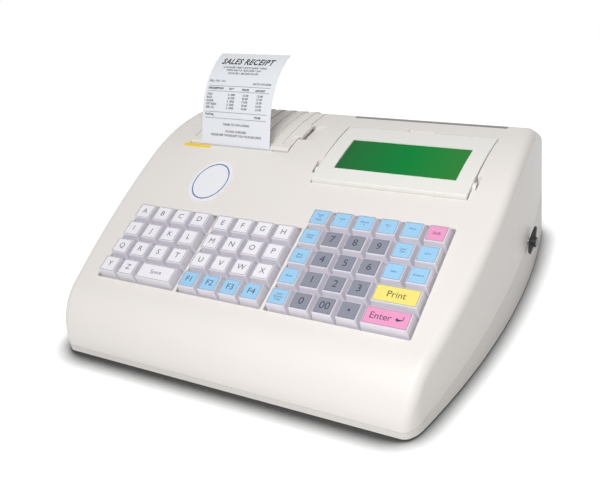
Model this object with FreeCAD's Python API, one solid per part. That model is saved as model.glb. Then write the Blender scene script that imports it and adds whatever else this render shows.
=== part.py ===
import FreeCAD, Part
import math
import os

# Ticket register: a counter billing machine with a sloping keyboard, a tilting
# operator display, a receipt printer under a ribbed lid and a customer window
# on the rear bevel. Millimetres, X to the right, Y to the rear, Z up. The origin
# is on the counter, under the middle of the casing.

os.makedirs("parts", exist_ok=True)
V = FreeCAD.Vector

# Driving dimensions of the casing
casing_depth = 310.0
casing_height = 120.0
side_half_width = 169.2
side_bow_radius = 714.0
side_widest_y = -6.1
wall = 2.8
foot_proud = 1.5
deck_slope_deg = 22.4
bevel_slope_deg = 26.0
nose_radius = 46.0
crown_radius = 190.0
crown_setback = 74.6
ridge_setback = 62.0
ridge_radius = 20.0
rear_corner_radius = 10.0
plan_corner_radius = 22.0
plan_corner_proud = 5.0
edge_radius = 8.0
parting_mid_height = 28.2
parting_slope_deg = 7.9
parting_gap = 0.4
lip_gap = 0.2
lip_thickness = 1.2
lip_height = 3.0
lip_root = 5.0
overrun = 1.0
touch = 0.3
running_gap = 0.05
slide_gap = 0.2
panel_gap = 0.8
along_share = 0.9
level_share = 0.5

front_y = -casing_depth / 2
rear_y = casing_depth / 2
crown_end_y = rear_y - crown_setback
ridge_y = rear_y - ridge_setback
far = casing_depth
sky = 2 * casing_height
wall_stack = wall + lip_gap + lip_thickness + overrun

# Keyboard
key_pitch = 19.05
key_columns = 14
middle_block_start = 4
right_block_start = 8
letter_rows = 4
number_rows = 5
key_block_gap = 4.4
key_field_shift = 2.0
key_front_setback = 46.44
cap_base = 18.2
cap_top_width = 15.2
cap_top_length = 14.8
cap_proud = 5.7
cap_skirt = 5.0
cap_wall = 1.3
cap_roof = 1.5
cap_edge_radius = 0.9
label_width = 14.2
label_length = 13.7
label_recess = 0.4
key_travel = 3.5
stem_radius = 2.4
stem_depth = 8.0
stem_hole_depth = 13.2
switch_body = 14.0
switch_flange = 15.4
switch_flange_thickness = 1.0
switch_neck = 12.6
switch_top = 4.0
key_plate_depth = 10.0
key_plate_thickness = 1.5
key_plate_margin = 2.0
key_plate_hole = 14.2
key_board_depth = 16.0
board_thickness = 1.6
key_opening_margin = 0.9
key_opening_radius = 1.2
key_collar_wall = 1.2
key_collar_depth = 7.0
plate_post_radius = 3.4
plate_screw_length = 8.0
small_screw_radius = 1.3
small_head_radius = 2.6
small_head_height = 1.8

# Operator display
display_x = 73.25
display_width = 131.5
display_front_y = -2.0
display_length = 73.5
display_front_z = 104.7
display_mid_rise = 10.4
display_rise = 15.4
display_depth = 9.0
display_wall = 2.2
display_edge_radius = 0.9
display_back_thickness = 1.6
window_x = 73.9
window_width = 104.0
window_front_y = 11.6
window_length = 39.4
window_rim = 0.5
lens_margin = 3.0
lens_thickness = 1.5
panel_thickness = 2.4
well_floor_front_z = 80.0
well_floor_rear_z = 107.0
well_wall = 2.0
pivot_y = 13.5
pivot_z = 103.0
pivot_radius = 2.0
pivot_boss_radius = 4.6
pivot_boss_length = 2.6
notch_width = 3.4
notch_length = 13.0
notch_wall = 2.2
lift_notch_width = 23.0
lift_notch_length = 4.5
lift_notch_depth = 3.0

# Customer window and the display behind it
customer_x = 70.6
customer_width = 136.8
customer_front_y = 92.6
customer_rear_y = 136.0
customer_thickness = 1.4
customer_view_margin = 6.0
customer_board_length = 24.0
customer_board_thickness = 5.0

# Printer
bay_x = -81.8
bay_width = 104.8
bay_front_y = 25.0
bay_rear_y = 118.0
bay_skirt_wall = 2.2
bay_skirt_depth = 8.0
lid_front_y = 27.2
lid_rear_y = 110.4
lid_thickness = 2.4
lid_lip_length = 8.0
lid_lip_proud = 1.2
lid_lip_depth = 7.0
rib_pitch = 12.0
rib_width = 5.3
rib_height = 1.0
rib_count = 7
rib_right_x = -42.3
stiffener_depth = 6.0
hinge_y = 112.6
hinge_z = 109.6
hinge_radius = 2.6
hinge_pin_radius = 1.2
knuckle_length = 10.0
hinge_span = 79.0
tab_length = 20.5
tab_reach_in = 4.8
tab_reach_out = 4.0
tab_proud = 1.6
tab_thickness = 2.8
tab_edge_radius = 0.8
pocket_width = 16.0
pocket_length = 25.2
pocket_front_y = 44.5
pocket_slot_width = 4.6
pocket_slot_depth = 9.0
pocket_floor_depth = 2.6
pocket_edge_depth = 0.9
paper_width = 72.3
paper_thickness = 0.25
paper_x = -84.7
receipt_front_y = 26.25
receipt_foot_z = 107.0
receipt_bend_z = 109.0
receipt_bend_radius = 12.0
receipt_lean_deg = 19.5
receipt_straight = 25.0
receipt_curl_radius = 67.0
receipt_curl_deg = 55.0
roll_y = 70.0
roll_z = 70.0
roll_radius = 30.0
web_leave_deg = 212.0
spindle_radius = 6.2
trunnion_radius = 3.0
cheek_thickness = 2.0
cheek_span = 98.0
frame_front_y = 19.0
frame_rear_y = 104.0
frame_floor_z = 13.0
frame_top_z = 100.0
platen_y = 35.3
platen_z = 88.0
platen_radius = 7.0
platen_shaft_radius = 3.0
head_depth = 5.0
head_height = 16.0
nip_gap = 0.2
tear_bar_thickness = 1.0
tear_bar_height = 8.0
tear_tooth_pitch = 2.0
tear_tooth_height = 1.0
spacer_radius = 2.0

# Feed train
gear_module = 1.0
gear_width = 5.5
gear_backlash = 0.25
feed_teeth = 28
idler_teeth = 27
platen_teeth = 28
pinion_teeth = 14
pressure_deg = 20.0
addendum_share = 0.9
dedendum_share = 1.2
flank_points = 4
stand_radius = 3.2
stand_inset = 7.0
knob_y = 59.0
knob_z = 38.5
feed_shaft_radius = 3.0
shaft_end_radius = 2.0
shaft_end_length = 4.6
shaft_proud = 0.4
knob_stand_off = 1.1
knob_turn_deg = 41.0
knob_wing_width = 3.6
knob_long_reach = 12.8
knob_short_reach = 10.2
knob_root_depth = 4.3
knob_tip_setback = 1.4
knob_tip_depth = 1.9
knob_edge_radius = 0.5
knob_boss_radius = 3.0
knob_hub_setback = 2.3
knob_hub_radius = 4.2
knob_hub_length = 3.7
bush_radius = 5.0
bush_length = 4.0
bracket_margin = 3.0
motor_radius = 14.0
motor_length = 19.0
motor_shaft_radius = 1.5
stud_radius = 2.5
bracket_thickness = 2.0

# Feet and case screws, their places as shares of the half width and half depth
foot_place_shares = [(-0.757, -0.645), (0.757, -0.645), (-0.757, 0.723), (0.757, 0.723), (0, 0)]
foot_radius = 9.0
foot_height = 3.0
screw_place_shares = [(-0.71, -0.865), (0.71, -0.865), (-0.863, 0.826), (0.863, 0.826),
                      (-0.898, 0), (0.898, 0)]
screw_radius = 1.7
screw_head_radius = 3.4
screw_head_height = 2.6
screw_length = 18.0
boss_radius = 5.0
tray_post_radius = 6.0
tray_post_height = 8.0
counterbore_depth = 4.5

# Main board, with the parts on it placed as shares of its width and length
board_z = 12.0
main_left = 16.0
main_right = 136.0
main_front_y = 22.0
main_rear_y = 146.0
chip_place_shares = [(0.45, 0.39), (0.77, 0.5), (0.2, 0.56), (0.2, 0.18)]
chip_size_shares = [(0.23, 0.23), (0.12, 0.18), (0.17, 0.1), (0.1, 0.24)]
chip_height = 2.8
converter_place_share = (0.83, 0.18)
converter_size_share = (0.2, 0.11)
converter_height = 12.0
capacitor_place_shares = [(0.57, 0.73), (0.7, 0.73), (0.42, 0.69)]
capacitor_radius = 6.0
capacitor_height = 16.0

# Rear sockets
socket_depth = 12.0
power_jack_x = 124.0
power_jack_size = 11.0
power_jack_bore = 3.4
power_jack_pin = 1.2
power_jack_back = 2.0
power_jack_pin_setback = 1.0
serial_x = 92.0
serial_width = 31.0
serial_height = 12.5
serial_shell_width = 17.0
serial_shell_height = 8.0
serial_slot = 1.5
serial_slot_depth = 4.0
drawer_x = 58.0
drawer_width = 15.0
drawer_height = 14.0
drawer_hole_width = 10.0
drawer_hole_height = 7.0
drawer_hole_depth = 9.0
usb_x = 34.0
usb_size = 12.0
usb_hole = 8.4
usb_tongue_width = 5.0
usb_tongue_height = 3.3

# Battery pack and its cradle
battery_x = -20.0
battery_y = -62.0
battery_width = 112.0
battery_length = 38.0
battery_height = 19.0
battery_edge_radius = 3.0
cradle_wall = 2.0
cradle_height = 8.0

# Mains switch, a rocker in a bezel on the rear wall
switch_x = -60.0
switch_z = 26.0
bezel_width = 25.0
bezel_height = 19.0
bezel_proud = 1.6
bezel_flange = 2.0
bezel_depth = 14.0
rocker_width = 17.0
rocker_height = 12.0
rocker_depth = 8.0
rocker_tilt_deg = 9.0
rocker_pin_radius = 1.5
rocker_pin_reach = 1.0
rocker_gap = 0.8
rocker_back_gap = 1.0
rocker_horn = 1.2


def cos_d(angle):
    return math.cos(math.radians(angle))


def sin_d(angle):
    return math.sin(math.radians(angle))


def box(x0, x1, y0, y1, z0, z1):
    """A block between two corners."""
    return Part.makeBox(x1 - x0, y1 - y0, z1 - z0, V(x0, y0, z0))


def rod(y, z, radius, x0, x1):
    """A round bar along X."""
    return Part.makeCylinder(radius, x1 - x0, V(x0, y, z), V(1, 0, 0))


def post(x, y, radius, z0, z1):
    """An upright round post."""
    return Part.makeCylinder(radius, z1 - z0, V(x, y, z0), V(0, 0, 1))


def slab(points, x0, x1):
    """A side outline of (y, z) points, carried along X."""
    corners = [V(x0, y, z) for y, z in points]
    corners.append(corners[0])
    return Part.Face(Part.makePolygon(corners)).extrude(V(x1 - x0, 0, 0))


def fuse(shapes):
    """One clean solid, or group of solids, from a list."""
    first = shapes[0]
    if len(shapes) > 1:
        first = first.multiFuse(shapes[1:])
    return first.removeSplitter()


def save(name, shapes):
    """Write a node from its separate solids."""
    solids = []
    for shape in shapes:
        solids.extend(shape.Solids)
    for solid in solids:
        if not solid.isValid():
            print("not valid:", name)
    whole = solids[0] if len(solids) == 1 else Part.makeCompound(solids)
    whole.exportStep("parts/" + name + ".step")
    print(name, len(solids), round(sum(s.Volume for s in solids)))


# Casing form: a side profile of lines and tangent arcs, cut by a plan whose
# sides bow outwards, with the rim between them rounded.
def arc_point(centre, radius, angle):
    return (centre[0] + radius * cos_d(angle), centre[1] + radius * sin_d(angle))


def profile_arcs(inset):
    """Centre, radius, start and end angle of each arc of the side profile."""
    deck_normal = 90 + deck_slope_deg
    bevel_normal = 90 - bevel_slope_deg
    crown = (crown_end_y, casing_height - crown_radius)
    deck_offset = crown[0] * cos_d(deck_normal) + crown[1] * sin_d(deck_normal) + crown_radius
    nose_y = front_y + nose_radius
    nose_z = (deck_offset - nose_radius - nose_y * cos_d(deck_normal)) / sin_d(deck_normal)
    ridge = (ridge_y, casing_height - ridge_radius)
    bevel_offset = ridge[0] * cos_d(bevel_normal) + ridge[1] * sin_d(bevel_normal) + ridge_radius
    corner_y = rear_y - rear_corner_radius
    corner_rest = bevel_offset - rear_corner_radius - corner_y * cos_d(bevel_normal)
    corner_z = corner_rest / sin_d(bevel_normal)
    return [
        ((nose_y, nose_z), nose_radius - inset, 180, deck_normal),
        (crown, crown_radius - inset, deck_normal, 90),
        (ridge, ridge_radius - inset, 90, bevel_normal),
        ((corner_y, corner_z), rear_corner_radius - inset, bevel_normal, 0),
    ]


def casing_skin(inset):
    """The side profile carried across the full width."""
    reach = side_half_width + plan_corner_proud
    start = (front_y + inset, foot_proud + inset)
    end = (rear_y - inset, foot_proud + inset)
    edges = []
    last = start
    for centre, radius, angle_a, angle_b in profile_arcs(inset):
        ends = [arc_point(centre, radius, a) for a in (angle_a, (angle_a + angle_b) / 2, angle_b)]
        edges.append(Part.LineSegment(V(-reach, *last), V(-reach, *ends[0])).toShape())
        edges.append(Part.Arc(*[V(-reach, *p) for p in ends]).toShape())
        last = ends[2]
    edges.append(Part.LineSegment(V(-reach, *last), V(-reach, *end)).toShape())
    edges.append(Part.LineSegment(V(-reach, *end), V(-reach, *start)).toShape())
    return Part.Face(Part.Wire(edges)).extrude(V(2 * reach, 0, 0))


def half_width_at(y):
    """Half width of the bowed side at a place along the depth."""
    along_bow = y - side_widest_y
    return side_half_width - side_bow_radius + math.sqrt(side_bow_radius ** 2 - along_bow ** 2)


def casing_plan(inset):
    """The plan with bowed sides and rounded corners, as an upright prism."""
    front = front_y - plan_corner_proud + inset
    rear = rear_y + plan_corner_proud - inset
    ends = {y: half_width_at(y) - inset for y in (front, rear)}
    middle = side_half_width - inset
    right = [V(ends[front], front, 0), V(middle, side_widest_y, 0), V(ends[rear], rear, 0)]
    left = [V(-p.x, p.y, 0) for p in reversed(right)]
    outline = Part.Wire([
        Part.Arc(*right).toShape(),
        Part.LineSegment(right[2], left[0]).toShape(),
        Part.Arc(*left).toShape(),
        Part.LineSegment(left[2], right[0]).toShape(),
    ])
    prism = Part.Face(outline).extrude(V(0, 0, casing_height + plan_corner_proud))
    uprights = [e for e in prism.Edges if abs(e.tangentAt(e.FirstParameter).z) > along_share]
    return prism.makeFillet(plan_corner_radius - inset, uprights)


def face_normal(face):
    u0, u1, v0, v1 = face.ParameterRange
    return face.normalAt((u0 + u1) / 2, (v0 + v1) / 2)


def casing_form(inset):
    """The whole casing as a solid, its faces moved inwards by inset."""
    skin = casing_skin(inset)
    plan = casing_plan(inset)
    form = skin.common(plan).Solids[0]
    walls = Part.Compound([f for f in plan.Faces if abs(face_normal(f).z) < level_share])
    top = Part.Compound([f for f in skin.Faces if abs(face_normal(f).x) < level_share])
    rim = []
    for edge in form.Edges:
        middle = Part.Vertex(edge.valueAt((edge.FirstParameter + edge.LastParameter) / 2))
        above_floor = middle.Z > foot_proud + inset + running_gap
        if above_floor and walls.distToShape(middle)[0] < running_gap:
            if top.distToShape(middle)[0] < running_gap:
                rim.append(edge)
    return form.makeFillet(edge_radius - inset, rim)


def surface_z(y):
    """Height of the casing's top surface at a place along the depth."""
    nose, crown, ridge, corner = profile_arcs(0)
    if y > ridge[0][0] + ridge_radius * sin_d(bevel_slope_deg):
        start = arc_point(ridge[0], ridge[1], ridge[3])
        return start[1] - (y - start[0]) * math.tan(math.radians(bevel_slope_deg))
    if y > ridge[0][0]:
        return ridge[0][1] + math.sqrt(ridge_radius ** 2 - (y - ridge[0][0]) ** 2)
    if y > crown_end_y:
        return casing_height
    start = arc_point(crown[0], crown[1], crown[2])
    if y > start[0]:
        return crown[0][1] + math.sqrt(crown_radius ** 2 - (y - crown_end_y) ** 2)
    return start[1] + (y - start[0]) * math.tan(math.radians(deck_slope_deg))


def above_parting(lift):
    """Everything over the sloping parting plane, moved up by lift."""
    block = Part.makeBox(2 * far, 2 * far, far, V(-far, -far, lift))
    block.rotate(V(0, 0, 0), V(1, 0, 0), parting_slope_deg)
    block.translate(V(0, 0, parting_mid_height))
    return block


outer = casing_form(0)
inner = casing_form(wall)
shell = outer.cut(inner)
cover_block = above_parting(parting_gap / 2)
cover = shell.common(cover_block)
tray = shell.cut(above_parting(-parting_gap / 2))

lip_outer = casing_form(wall + lip_gap)
lip_inner = casing_form(wall + lip_gap + lip_thickness)
lip_band = above_parting(-lip_root).cut(above_parting(lip_height))
root_band = above_parting(-lip_root).cut(above_parting(-parting_gap / 2))
lip = lip_outer.cut(lip_inner).common(lip_band)
lip_foot = inner.cut(lip_inner).common(root_band)

# Places in the sloping key deck's own frame: x across, s up the slope and w
# outwards, from the middle of the front row on the deck's surface.
key_row_y = front_y + key_front_setback
key_row_z = surface_z(key_row_y)


def to_deck(shape):
    """Carry a shape from the deck's own frame to its place."""
    placed = shape.copy()
    placed.rotate(V(0, 0, 0), V(1, 0, 0), deck_slope_deg)
    placed.translate(V(0, key_row_y, key_row_z))
    return placed


def column_x(column):
    """Middle of a key column; the three blocks stand a gap apart."""
    span = (key_columns - 1) * key_pitch + 2 * key_block_gap
    gaps = (column >= middle_block_start) + (column >= right_block_start)
    return key_field_shift - span / 2 + column * key_pitch + gaps * key_block_gap


# Each key: name, column, row and width in key units
key_groups = {
    "keys_a_to_h": [(c, 3, 1) for c in range(8)],
    "keys_i_to_p": [(c, 2, 1) for c in range(8)],
    "keys_q_to_z": [(c, 1, 1) for c in range(8)] + [(0, 0, 1), (1, 0, 1)],
    "key_space": [(2, 0, 2)],
    "keys_function": [(c, 0, 1) for c in range(4, 8)] + [(c, 4, 1) for c in range(8, 13)],
    "keys_command": [(8, r, 1) for r in range(4)] + [(c, r, 1) for c in (12, 13) for r in (2, 3)],
    "key_shift": [(13, 4, 1)],
    "key_print": [(12, 1, 2)],
    "key_enter": [(12, 0, 2)],
    "key_0": [(9, 0, 1)],
    "key_00": [(10, 0, 1)],
    "key_point": [(11, 0, 1)],
    "key_1": [(9, 1, 1)],
    "key_2": [(10, 1, 1)],
    "key_3": [(11, 1, 1)],
    "key_4": [(9, 2, 1)],
    "key_5": [(10, 2, 1)],
    "key_6": [(11, 2, 1)],
    "key_7": [(9, 3, 1)],
    "key_8": [(10, 3, 1)],
    "key_9": [(11, 3, 1)],
}


def key_place(column, row, units):
    """Middle of a key, across and up the deck."""
    return V(column_x(column) + (units - 1) * key_pitch / 2, row * key_pitch, 0)


def rectangle(width, length, level):
    corners = [V(-width / 2, -length / 2, level), V(width / 2, -length / 2, level),
               V(width / 2, length / 2, level), V(-width / 2, length / 2, level)]
    corners.append(corners[0])
    return Part.makePolygon(corners)


def taper(lower, upper):
    return Part.makeLoft([lower, upper], True, True)


def make_cap(units):
    """A hollow key cap with sloping sides, a label recess and a stem."""
    more = (units - 1) * key_pitch
    body = taper(rectangle(cap_base + more, cap_base, -cap_skirt),
                 rectangle(cap_top_width + more, cap_top_length, cap_proud))
    edges = [e for e in body.Edges if e.BoundBox.ZMax > cap_proud - running_gap]
    body = body.makeFillet(cap_edge_radius, edges)
    hollow = taper(rectangle(cap_base + more - 2 * cap_wall, cap_base - 2 * cap_wall, -cap_skirt),
                   rectangle(cap_top_width + more - 2 * cap_wall, cap_top_length - 2 * cap_wall,
                             cap_proud - cap_roof))
    recess = box(-(label_width + more) / 2, (label_width + more) / 2, -label_length / 2,
                 label_length / 2, cap_proud - label_recess, cap_proud + overrun)
    stem = post(0, 0, stem_radius, -stem_depth, cap_proud - cap_roof + label_recess)
    return body.cut(hollow).cut(recess).fuse(stem)


def make_switch():
    """A push switch: a body through the plate, a flange on it and a neck."""
    half = switch_body / 2
    flange = switch_flange / 2
    neck = switch_neck / 2
    body = fuse([
        box(-half, half, -half, half, -key_board_depth, -key_plate_depth),
        box(-flange, flange, -flange, flange, -key_plate_depth,
            -key_plate_depth + switch_flange_thickness),
        box(-neck, neck, -neck, neck, -key_plate_depth + switch_flange_thickness, -switch_top),
    ])
    hole = post(0, 0, stem_radius + slide_gap, -stem_hole_depth, -switch_top + overrun)
    return body.cut(hole)


caps = {units: make_cap(units) for units in (1, 2)}
switch = make_switch()
switches = []
plate_holes = []
for name, keys in key_groups.items():
    group = []
    for column, row, units in keys:
        place = key_place(column, row, units)
        cap = caps[units].copy()
        cap.translate(place)
        group.append(to_deck(cap))
        body = switch.copy()
        body.translate(place)
        switches.append(to_deck(body))
        half = key_plate_hole / 2
        plate_holes.append(box(place.x - half, place.x + half, place.y - half, place.y + half,
                               -key_plate_depth - key_plate_thickness - overrun,
                               -key_plate_depth + overrun))
    save(name, group)
save("key_switches", switches)

# The three key openings in the cover, with a collar round each: the first and
# last column and the number of rows of each block
key_blocks = [(0, middle_block_start - 1, letter_rows),
              (middle_block_start, right_block_start - 1, letter_rows),
              (right_block_start, key_columns - 1, number_rows)]


def block_prism(block, margin, low, high):
    first, last, rows = block
    half = key_pitch / 2
    return box(column_x(first) - half - margin, column_x(last) + half + margin,
               -half - margin, (rows - 1) * key_pitch + half + margin, low, high)


for block in key_blocks:
    opening = block_prism(block, key_opening_margin, -far, far)
    corners = [e for e in opening.Edges if e.Length > far]
    opening = opening.makeFillet(key_opening_radius, corners)
    ring = block_prism(block, key_opening_margin + key_collar_wall, -key_collar_depth, 0)
    cover = cover.fuse(to_deck(ring).common(outer))
    depth = key_plate_depth - overrun
    cut = opening.common(box(-far, far, -far, far, -depth, sky))
    cover = cover.cut(to_deck(cut))

# Key plate, its board, and the posts and screws that hold them to the cover
plate_shapes = [block_prism(b, key_plate_margin + key_block_gap, -key_plate_depth - key_plate_thickness,
                            -key_plate_depth) for b in key_blocks]
plate = fuse(plate_shapes)
board_low = -key_board_depth - board_thickness
board = fuse([block_prism(b, key_plate_margin + key_block_gap / 2, board_low, -key_board_depth)
              for b in key_blocks])
post_step = key_pitch / 2 + key_block_gap / 2
post_left = column_x(0) - post_step
post_right = column_x(key_columns - 1) + post_step
letters_top = (letter_rows - 1) * key_pitch + post_step
numbers_top = (number_rows - 1) * key_pitch + post_step
post_places = [
    (post_left, -post_step), (post_right, -post_step), (post_left, letters_top), (post_right, numbers_top),
    (column_x(middle_block_start - 1) + post_step, letters_top),
]
small_screws = []


def board_screw(x, y, seat_z):
    """An upright screw with its head on seat_z."""
    return fuse([post(x, y, small_head_radius, seat_z, seat_z + small_head_height),
                 post(x, y, small_screw_radius, seat_z - plate_screw_length, seat_z)])


for x, s in post_places:
    pillar = post(x, s, plate_post_radius, -key_plate_depth, -wall / 2)
    for block in key_blocks:
        pillar = pillar.cut(block_prism(block, key_opening_margin, -far, far))
    bore = post(x, s, small_screw_radius, -key_plate_depth - overrun, -key_plate_depth + plate_screw_length / 2)
    cover = cover.fuse(to_deck(pillar)).cut(to_deck(bore))
    under = -key_plate_depth - key_plate_thickness
    plate = plate.cut(post(x, s, small_screw_radius, under - overrun, -key_plate_depth + overrun))
    head = post(x, s, small_head_radius, under - small_head_height, under)
    shank = post(x, s, small_screw_radius, under, -key_plate_depth + plate_screw_length / 2)
    small_screws.append(to_deck(fuse([head, shank])))
for hole in plate_holes:
    plate = plate.cut(hole)
save("key_plate", [to_deck(plate)])
save("keyboard_board", [to_deck(board)])

# Operator display well in the cover
display_left = display_x - display_width / 2
display_right = display_x + display_width / 2
display_rear_y = display_front_y + display_length
well_left = display_left - panel_gap
well_right = display_right + panel_gap
well_front = display_front_y - panel_gap
well_rear = display_rear_y + panel_gap


def well_outline(grow):
    """Side outline of the well, its walls moved outwards by grow."""
    slope = (well_floor_rear_z - well_floor_front_z) / (well_rear - well_front)
    return [(well_front - grow, sky), (well_rear + grow, sky),
            (well_rear + grow, well_floor_rear_z - grow + slope * grow),
            (well_front - grow, well_floor_front_z - grow - slope * grow)]


well = slab(well_outline(well_wall), well_left - well_wall, well_right + well_wall).common(outer)
notch_block = []
notch_cut = []
for edge, side in ((well_left, -1), (well_right, 1)):
    deep = sorted((edge - side * overrun, edge + side * notch_width))
    back = sorted((edge, edge + side * (notch_width + notch_wall)))
    low = pivot_z - pivot_boss_radius
    notch_cut.append(box(deep[0], deep[1], pivot_y - notch_length / 2, pivot_y + notch_length / 2,
                         low - panel_gap, sky))
    notch_block.append(box(back[0], back[1], pivot_y - notch_length / 2 - notch_wall,
                           pivot_y + notch_length / 2 + notch_wall,
                           low - panel_gap - notch_wall, sky).common(outer))
cover = fuse([cover, well] + notch_block)
cover = cover.cut(slab(well_outline(0), well_left, well_right))
for cut in notch_cut:
    cover = cover.cut(cut)
lift_x0 = display_x - lift_notch_width / 2
lift_x1 = display_x + lift_notch_width / 2
lift_z = surface_z(well_rear) - lift_notch_depth
cover = cover.fuse(box(lift_x0 - well_wall, lift_x1 + well_wall, well_rear,
                       well_rear + lift_notch_length + well_wall, lift_z - well_wall, sky).common(outer))
cover = cover.cut(box(lift_x0, lift_x1, well_rear - well_wall - overrun, well_rear + lift_notch_length,
                      lift_z, sky))
pivot_reach = notch_width + notch_wall + panel_gap
cover = cover.cut(rod(pivot_y, pivot_z, pivot_radius + running_gap, well_left - pivot_reach,
                      well_right + pivot_reach))


# Display frame with an arched face, an open back and a flat window
face_points = [
    V(0, display_front_y, display_front_z),
    V(0, display_front_y + display_length / 2, display_front_z + display_mid_rise),
    V(0, display_rear_y, display_front_z + display_rise),
]
face_circle = Part.Arc(*face_points).toShape().Curve


def face_arc(drop, y0, y1):
    """Arched face line, lowered by drop, between two places along the depth."""
    centre = face_circle.Center
    heights = [centre.z + math.sqrt((face_circle.Radius - drop) ** 2 - (y - centre.y) ** 2)
               for y in (y0, (y0 + y1) / 2, y1)]
    return [(y0, heights[0]), ((y0 + y1) / 2, heights[1]), (y1, heights[2])]


def arched_slab(drop, y0, y1, under0, under1, x0, x1):
    """A body under the arched face, down to a straight underside."""
    top = [V(x0, y, z) for y, z in face_arc(drop, y0, y1)]
    low0 = V(x0, y0, under0)
    low1 = V(x0, y1, under1)
    edges = [Part.Arc(*top).toShape(), Part.LineSegment(top[2], low1).toShape(),
             Part.LineSegment(low1, low0).toShape(), Part.LineSegment(low0, top[0]).toShape()]
    return Part.Face(Part.Wire(edges)).extrude(V(x1 - x0, 0, 0))


under_front = display_front_z - display_depth
under_rear = display_front_z + display_rise - display_depth
back_front = under_front + display_back_thickness
back_rear = under_rear + display_back_thickness
frame_body = arched_slab(0, display_front_y, display_rear_y, back_front, back_rear,
                         display_left, display_right)
rim = [e for e in frame_body.Edges if e.BoundBox.ZMin > display_front_z - running_gap
       or abs(e.tangentAt(e.FirstParameter).z) > along_share]
frame_body = frame_body.makeFillet(display_edge_radius, rim)
frame_hollow = arched_slab(display_wall, display_front_y + display_wall, display_rear_y - display_wall,
                           back_front - overrun, back_rear - overrun,
                           display_left + display_wall, display_right - display_wall)
window_left = window_x - window_width / 2
window_right = window_x + window_width / 2
window_rear_y = window_front_y + window_length
frame_body = frame_body.cut(frame_hollow)
frame_body = frame_body.cut(box(window_left, window_right, window_front_y, window_rear_y,
                                display_front_z - display_depth, sky))
bosses = [rod(pivot_y, pivot_z, pivot_boss_radius, display_left - pivot_boss_length, display_left + display_wall),
          rod(pivot_y, pivot_z, pivot_boss_radius, display_right - display_wall,
              display_right + pivot_boss_length)]
boss_trim = arched_slab(0, display_front_y, display_rear_y, back_front, back_rear,
                        display_left - far, display_right + far)
frame_body = fuse([frame_body] + [b.common(boss_trim) for b in bosses])
pin_inner = display_wall + pivot_boss_length
frame_body = frame_body.cut(rod(pivot_y, pivot_z, pivot_radius, display_left - far, display_right + far))

pin_reach = notch_width + notch_wall + panel_gap
left_pin = rod(pivot_y, pivot_z, pivot_radius, display_left - pin_reach, display_left + pin_inner)
right_pin = rod(pivot_y, pivot_z, pivot_radius, display_right - pin_inner, display_right + pin_reach)
save("display_pivot_pins", [left_pin, right_pin])

back_outline = [(display_front_y, under_front), (display_rear_y, under_rear),
                (display_rear_y, back_rear), (display_front_y, back_front)]
save("display_back", [slab(back_outline, display_left, display_right)])

# Window and panel lie flat in a seat under the window's thin rim
window_ends = face_arc(window_rim, window_front_y, window_rear_y)
window_slope_deg = math.degrees(math.atan2(window_ends[2][1] - window_ends[0][1], window_length))
window_half = window_length / cos_d(window_slope_deg) / 2


def under_window(margin, drop, thickness):
    """A flat plate under the display window, drop below its edge."""
    half_length = window_half + margin
    plate_body = box(window_left - margin, window_right + margin, -half_length, half_length,
                     -drop - thickness, -drop)
    plate_body.rotate(V(0, 0, 0), V(1, 0, 0), window_slope_deg)
    plate_body.translate(V(0, window_ends[1][0], (window_ends[0][1] + window_ends[2][1]) / 2))
    return plate_body


seat_margin = lens_margin + slide_gap
seat_rise = (window_half + seat_margin) ** 2 - window_half ** 2
seat_gap = seat_rise / (2 * (face_circle.Radius - window_rim))
lens_gap = seat_gap + running_gap
frame_body = frame_body.cut(under_window(seat_margin, seat_gap, display_depth - display_back_thickness))
save("display_frame", [frame_body])
save("display_window", [under_window(lens_margin, lens_gap, lens_thickness)])
save("lcd_panel", [under_window(lens_margin, lens_gap + lens_thickness, panel_thickness)])

# Customer window: a smoked strip let into the ridge and the rear bevel
def ridge_patch(x0, x1, y0, y1, thickness):
    """A piece of the casing's own skin, seen from above as a rectangle."""
    return outer.cut(casing_form(thickness)).common(box(x0, x1, y0, y1, casing_height / 2, sky))


customer_left = customer_x - customer_width / 2
customer_right = customer_x + customer_width / 2
save("customer_window", [ridge_patch(customer_left, customer_right, customer_front_y, customer_rear_y,
                                     customer_thickness)])
cover = cover.cut(ridge_patch(customer_left - touch, customer_right + touch, customer_front_y - touch,
                              customer_rear_y + touch, customer_thickness))
view_front = ridge_y + ridge_radius * sin_d(bevel_slope_deg) + overrun
cover = cover.cut(box(customer_left + customer_view_margin, customer_right - customer_view_margin,
                      view_front, customer_rear_y - customer_view_margin, casing_height / 2, sky))
customer_board = box(customer_left + customer_view_margin / 2, customer_right - customer_view_margin / 2,
                     0, customer_board_length, -customer_board_thickness, 0)
customer_board.rotate(V(0, 0, 0), V(1, 0, 0), -bevel_slope_deg)
customer_board.translate(V(0, view_front, surface_z(view_front) - (wall + touch) / cos_d(bevel_slope_deg)))
save("customer_display", [customer_board])

# Printer bay in the cover, with a skirt, a finger pocket and hinge lugs
bay_left = bay_x - bay_width / 2
bay_right = bay_x + bay_width / 2
lid_left = bay_left + panel_gap
lid_right = bay_right - panel_gap
pocket_rear_y = pocket_front_y + pocket_length
skirt_low = surface_z(bay_front_y) - bay_skirt_depth
bay_walls = box(bay_left - bay_skirt_wall, bay_right + bay_skirt_wall, bay_front_y - bay_skirt_wall,
                bay_rear_y + bay_skirt_wall, skirt_low, sky).common(outer)


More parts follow.
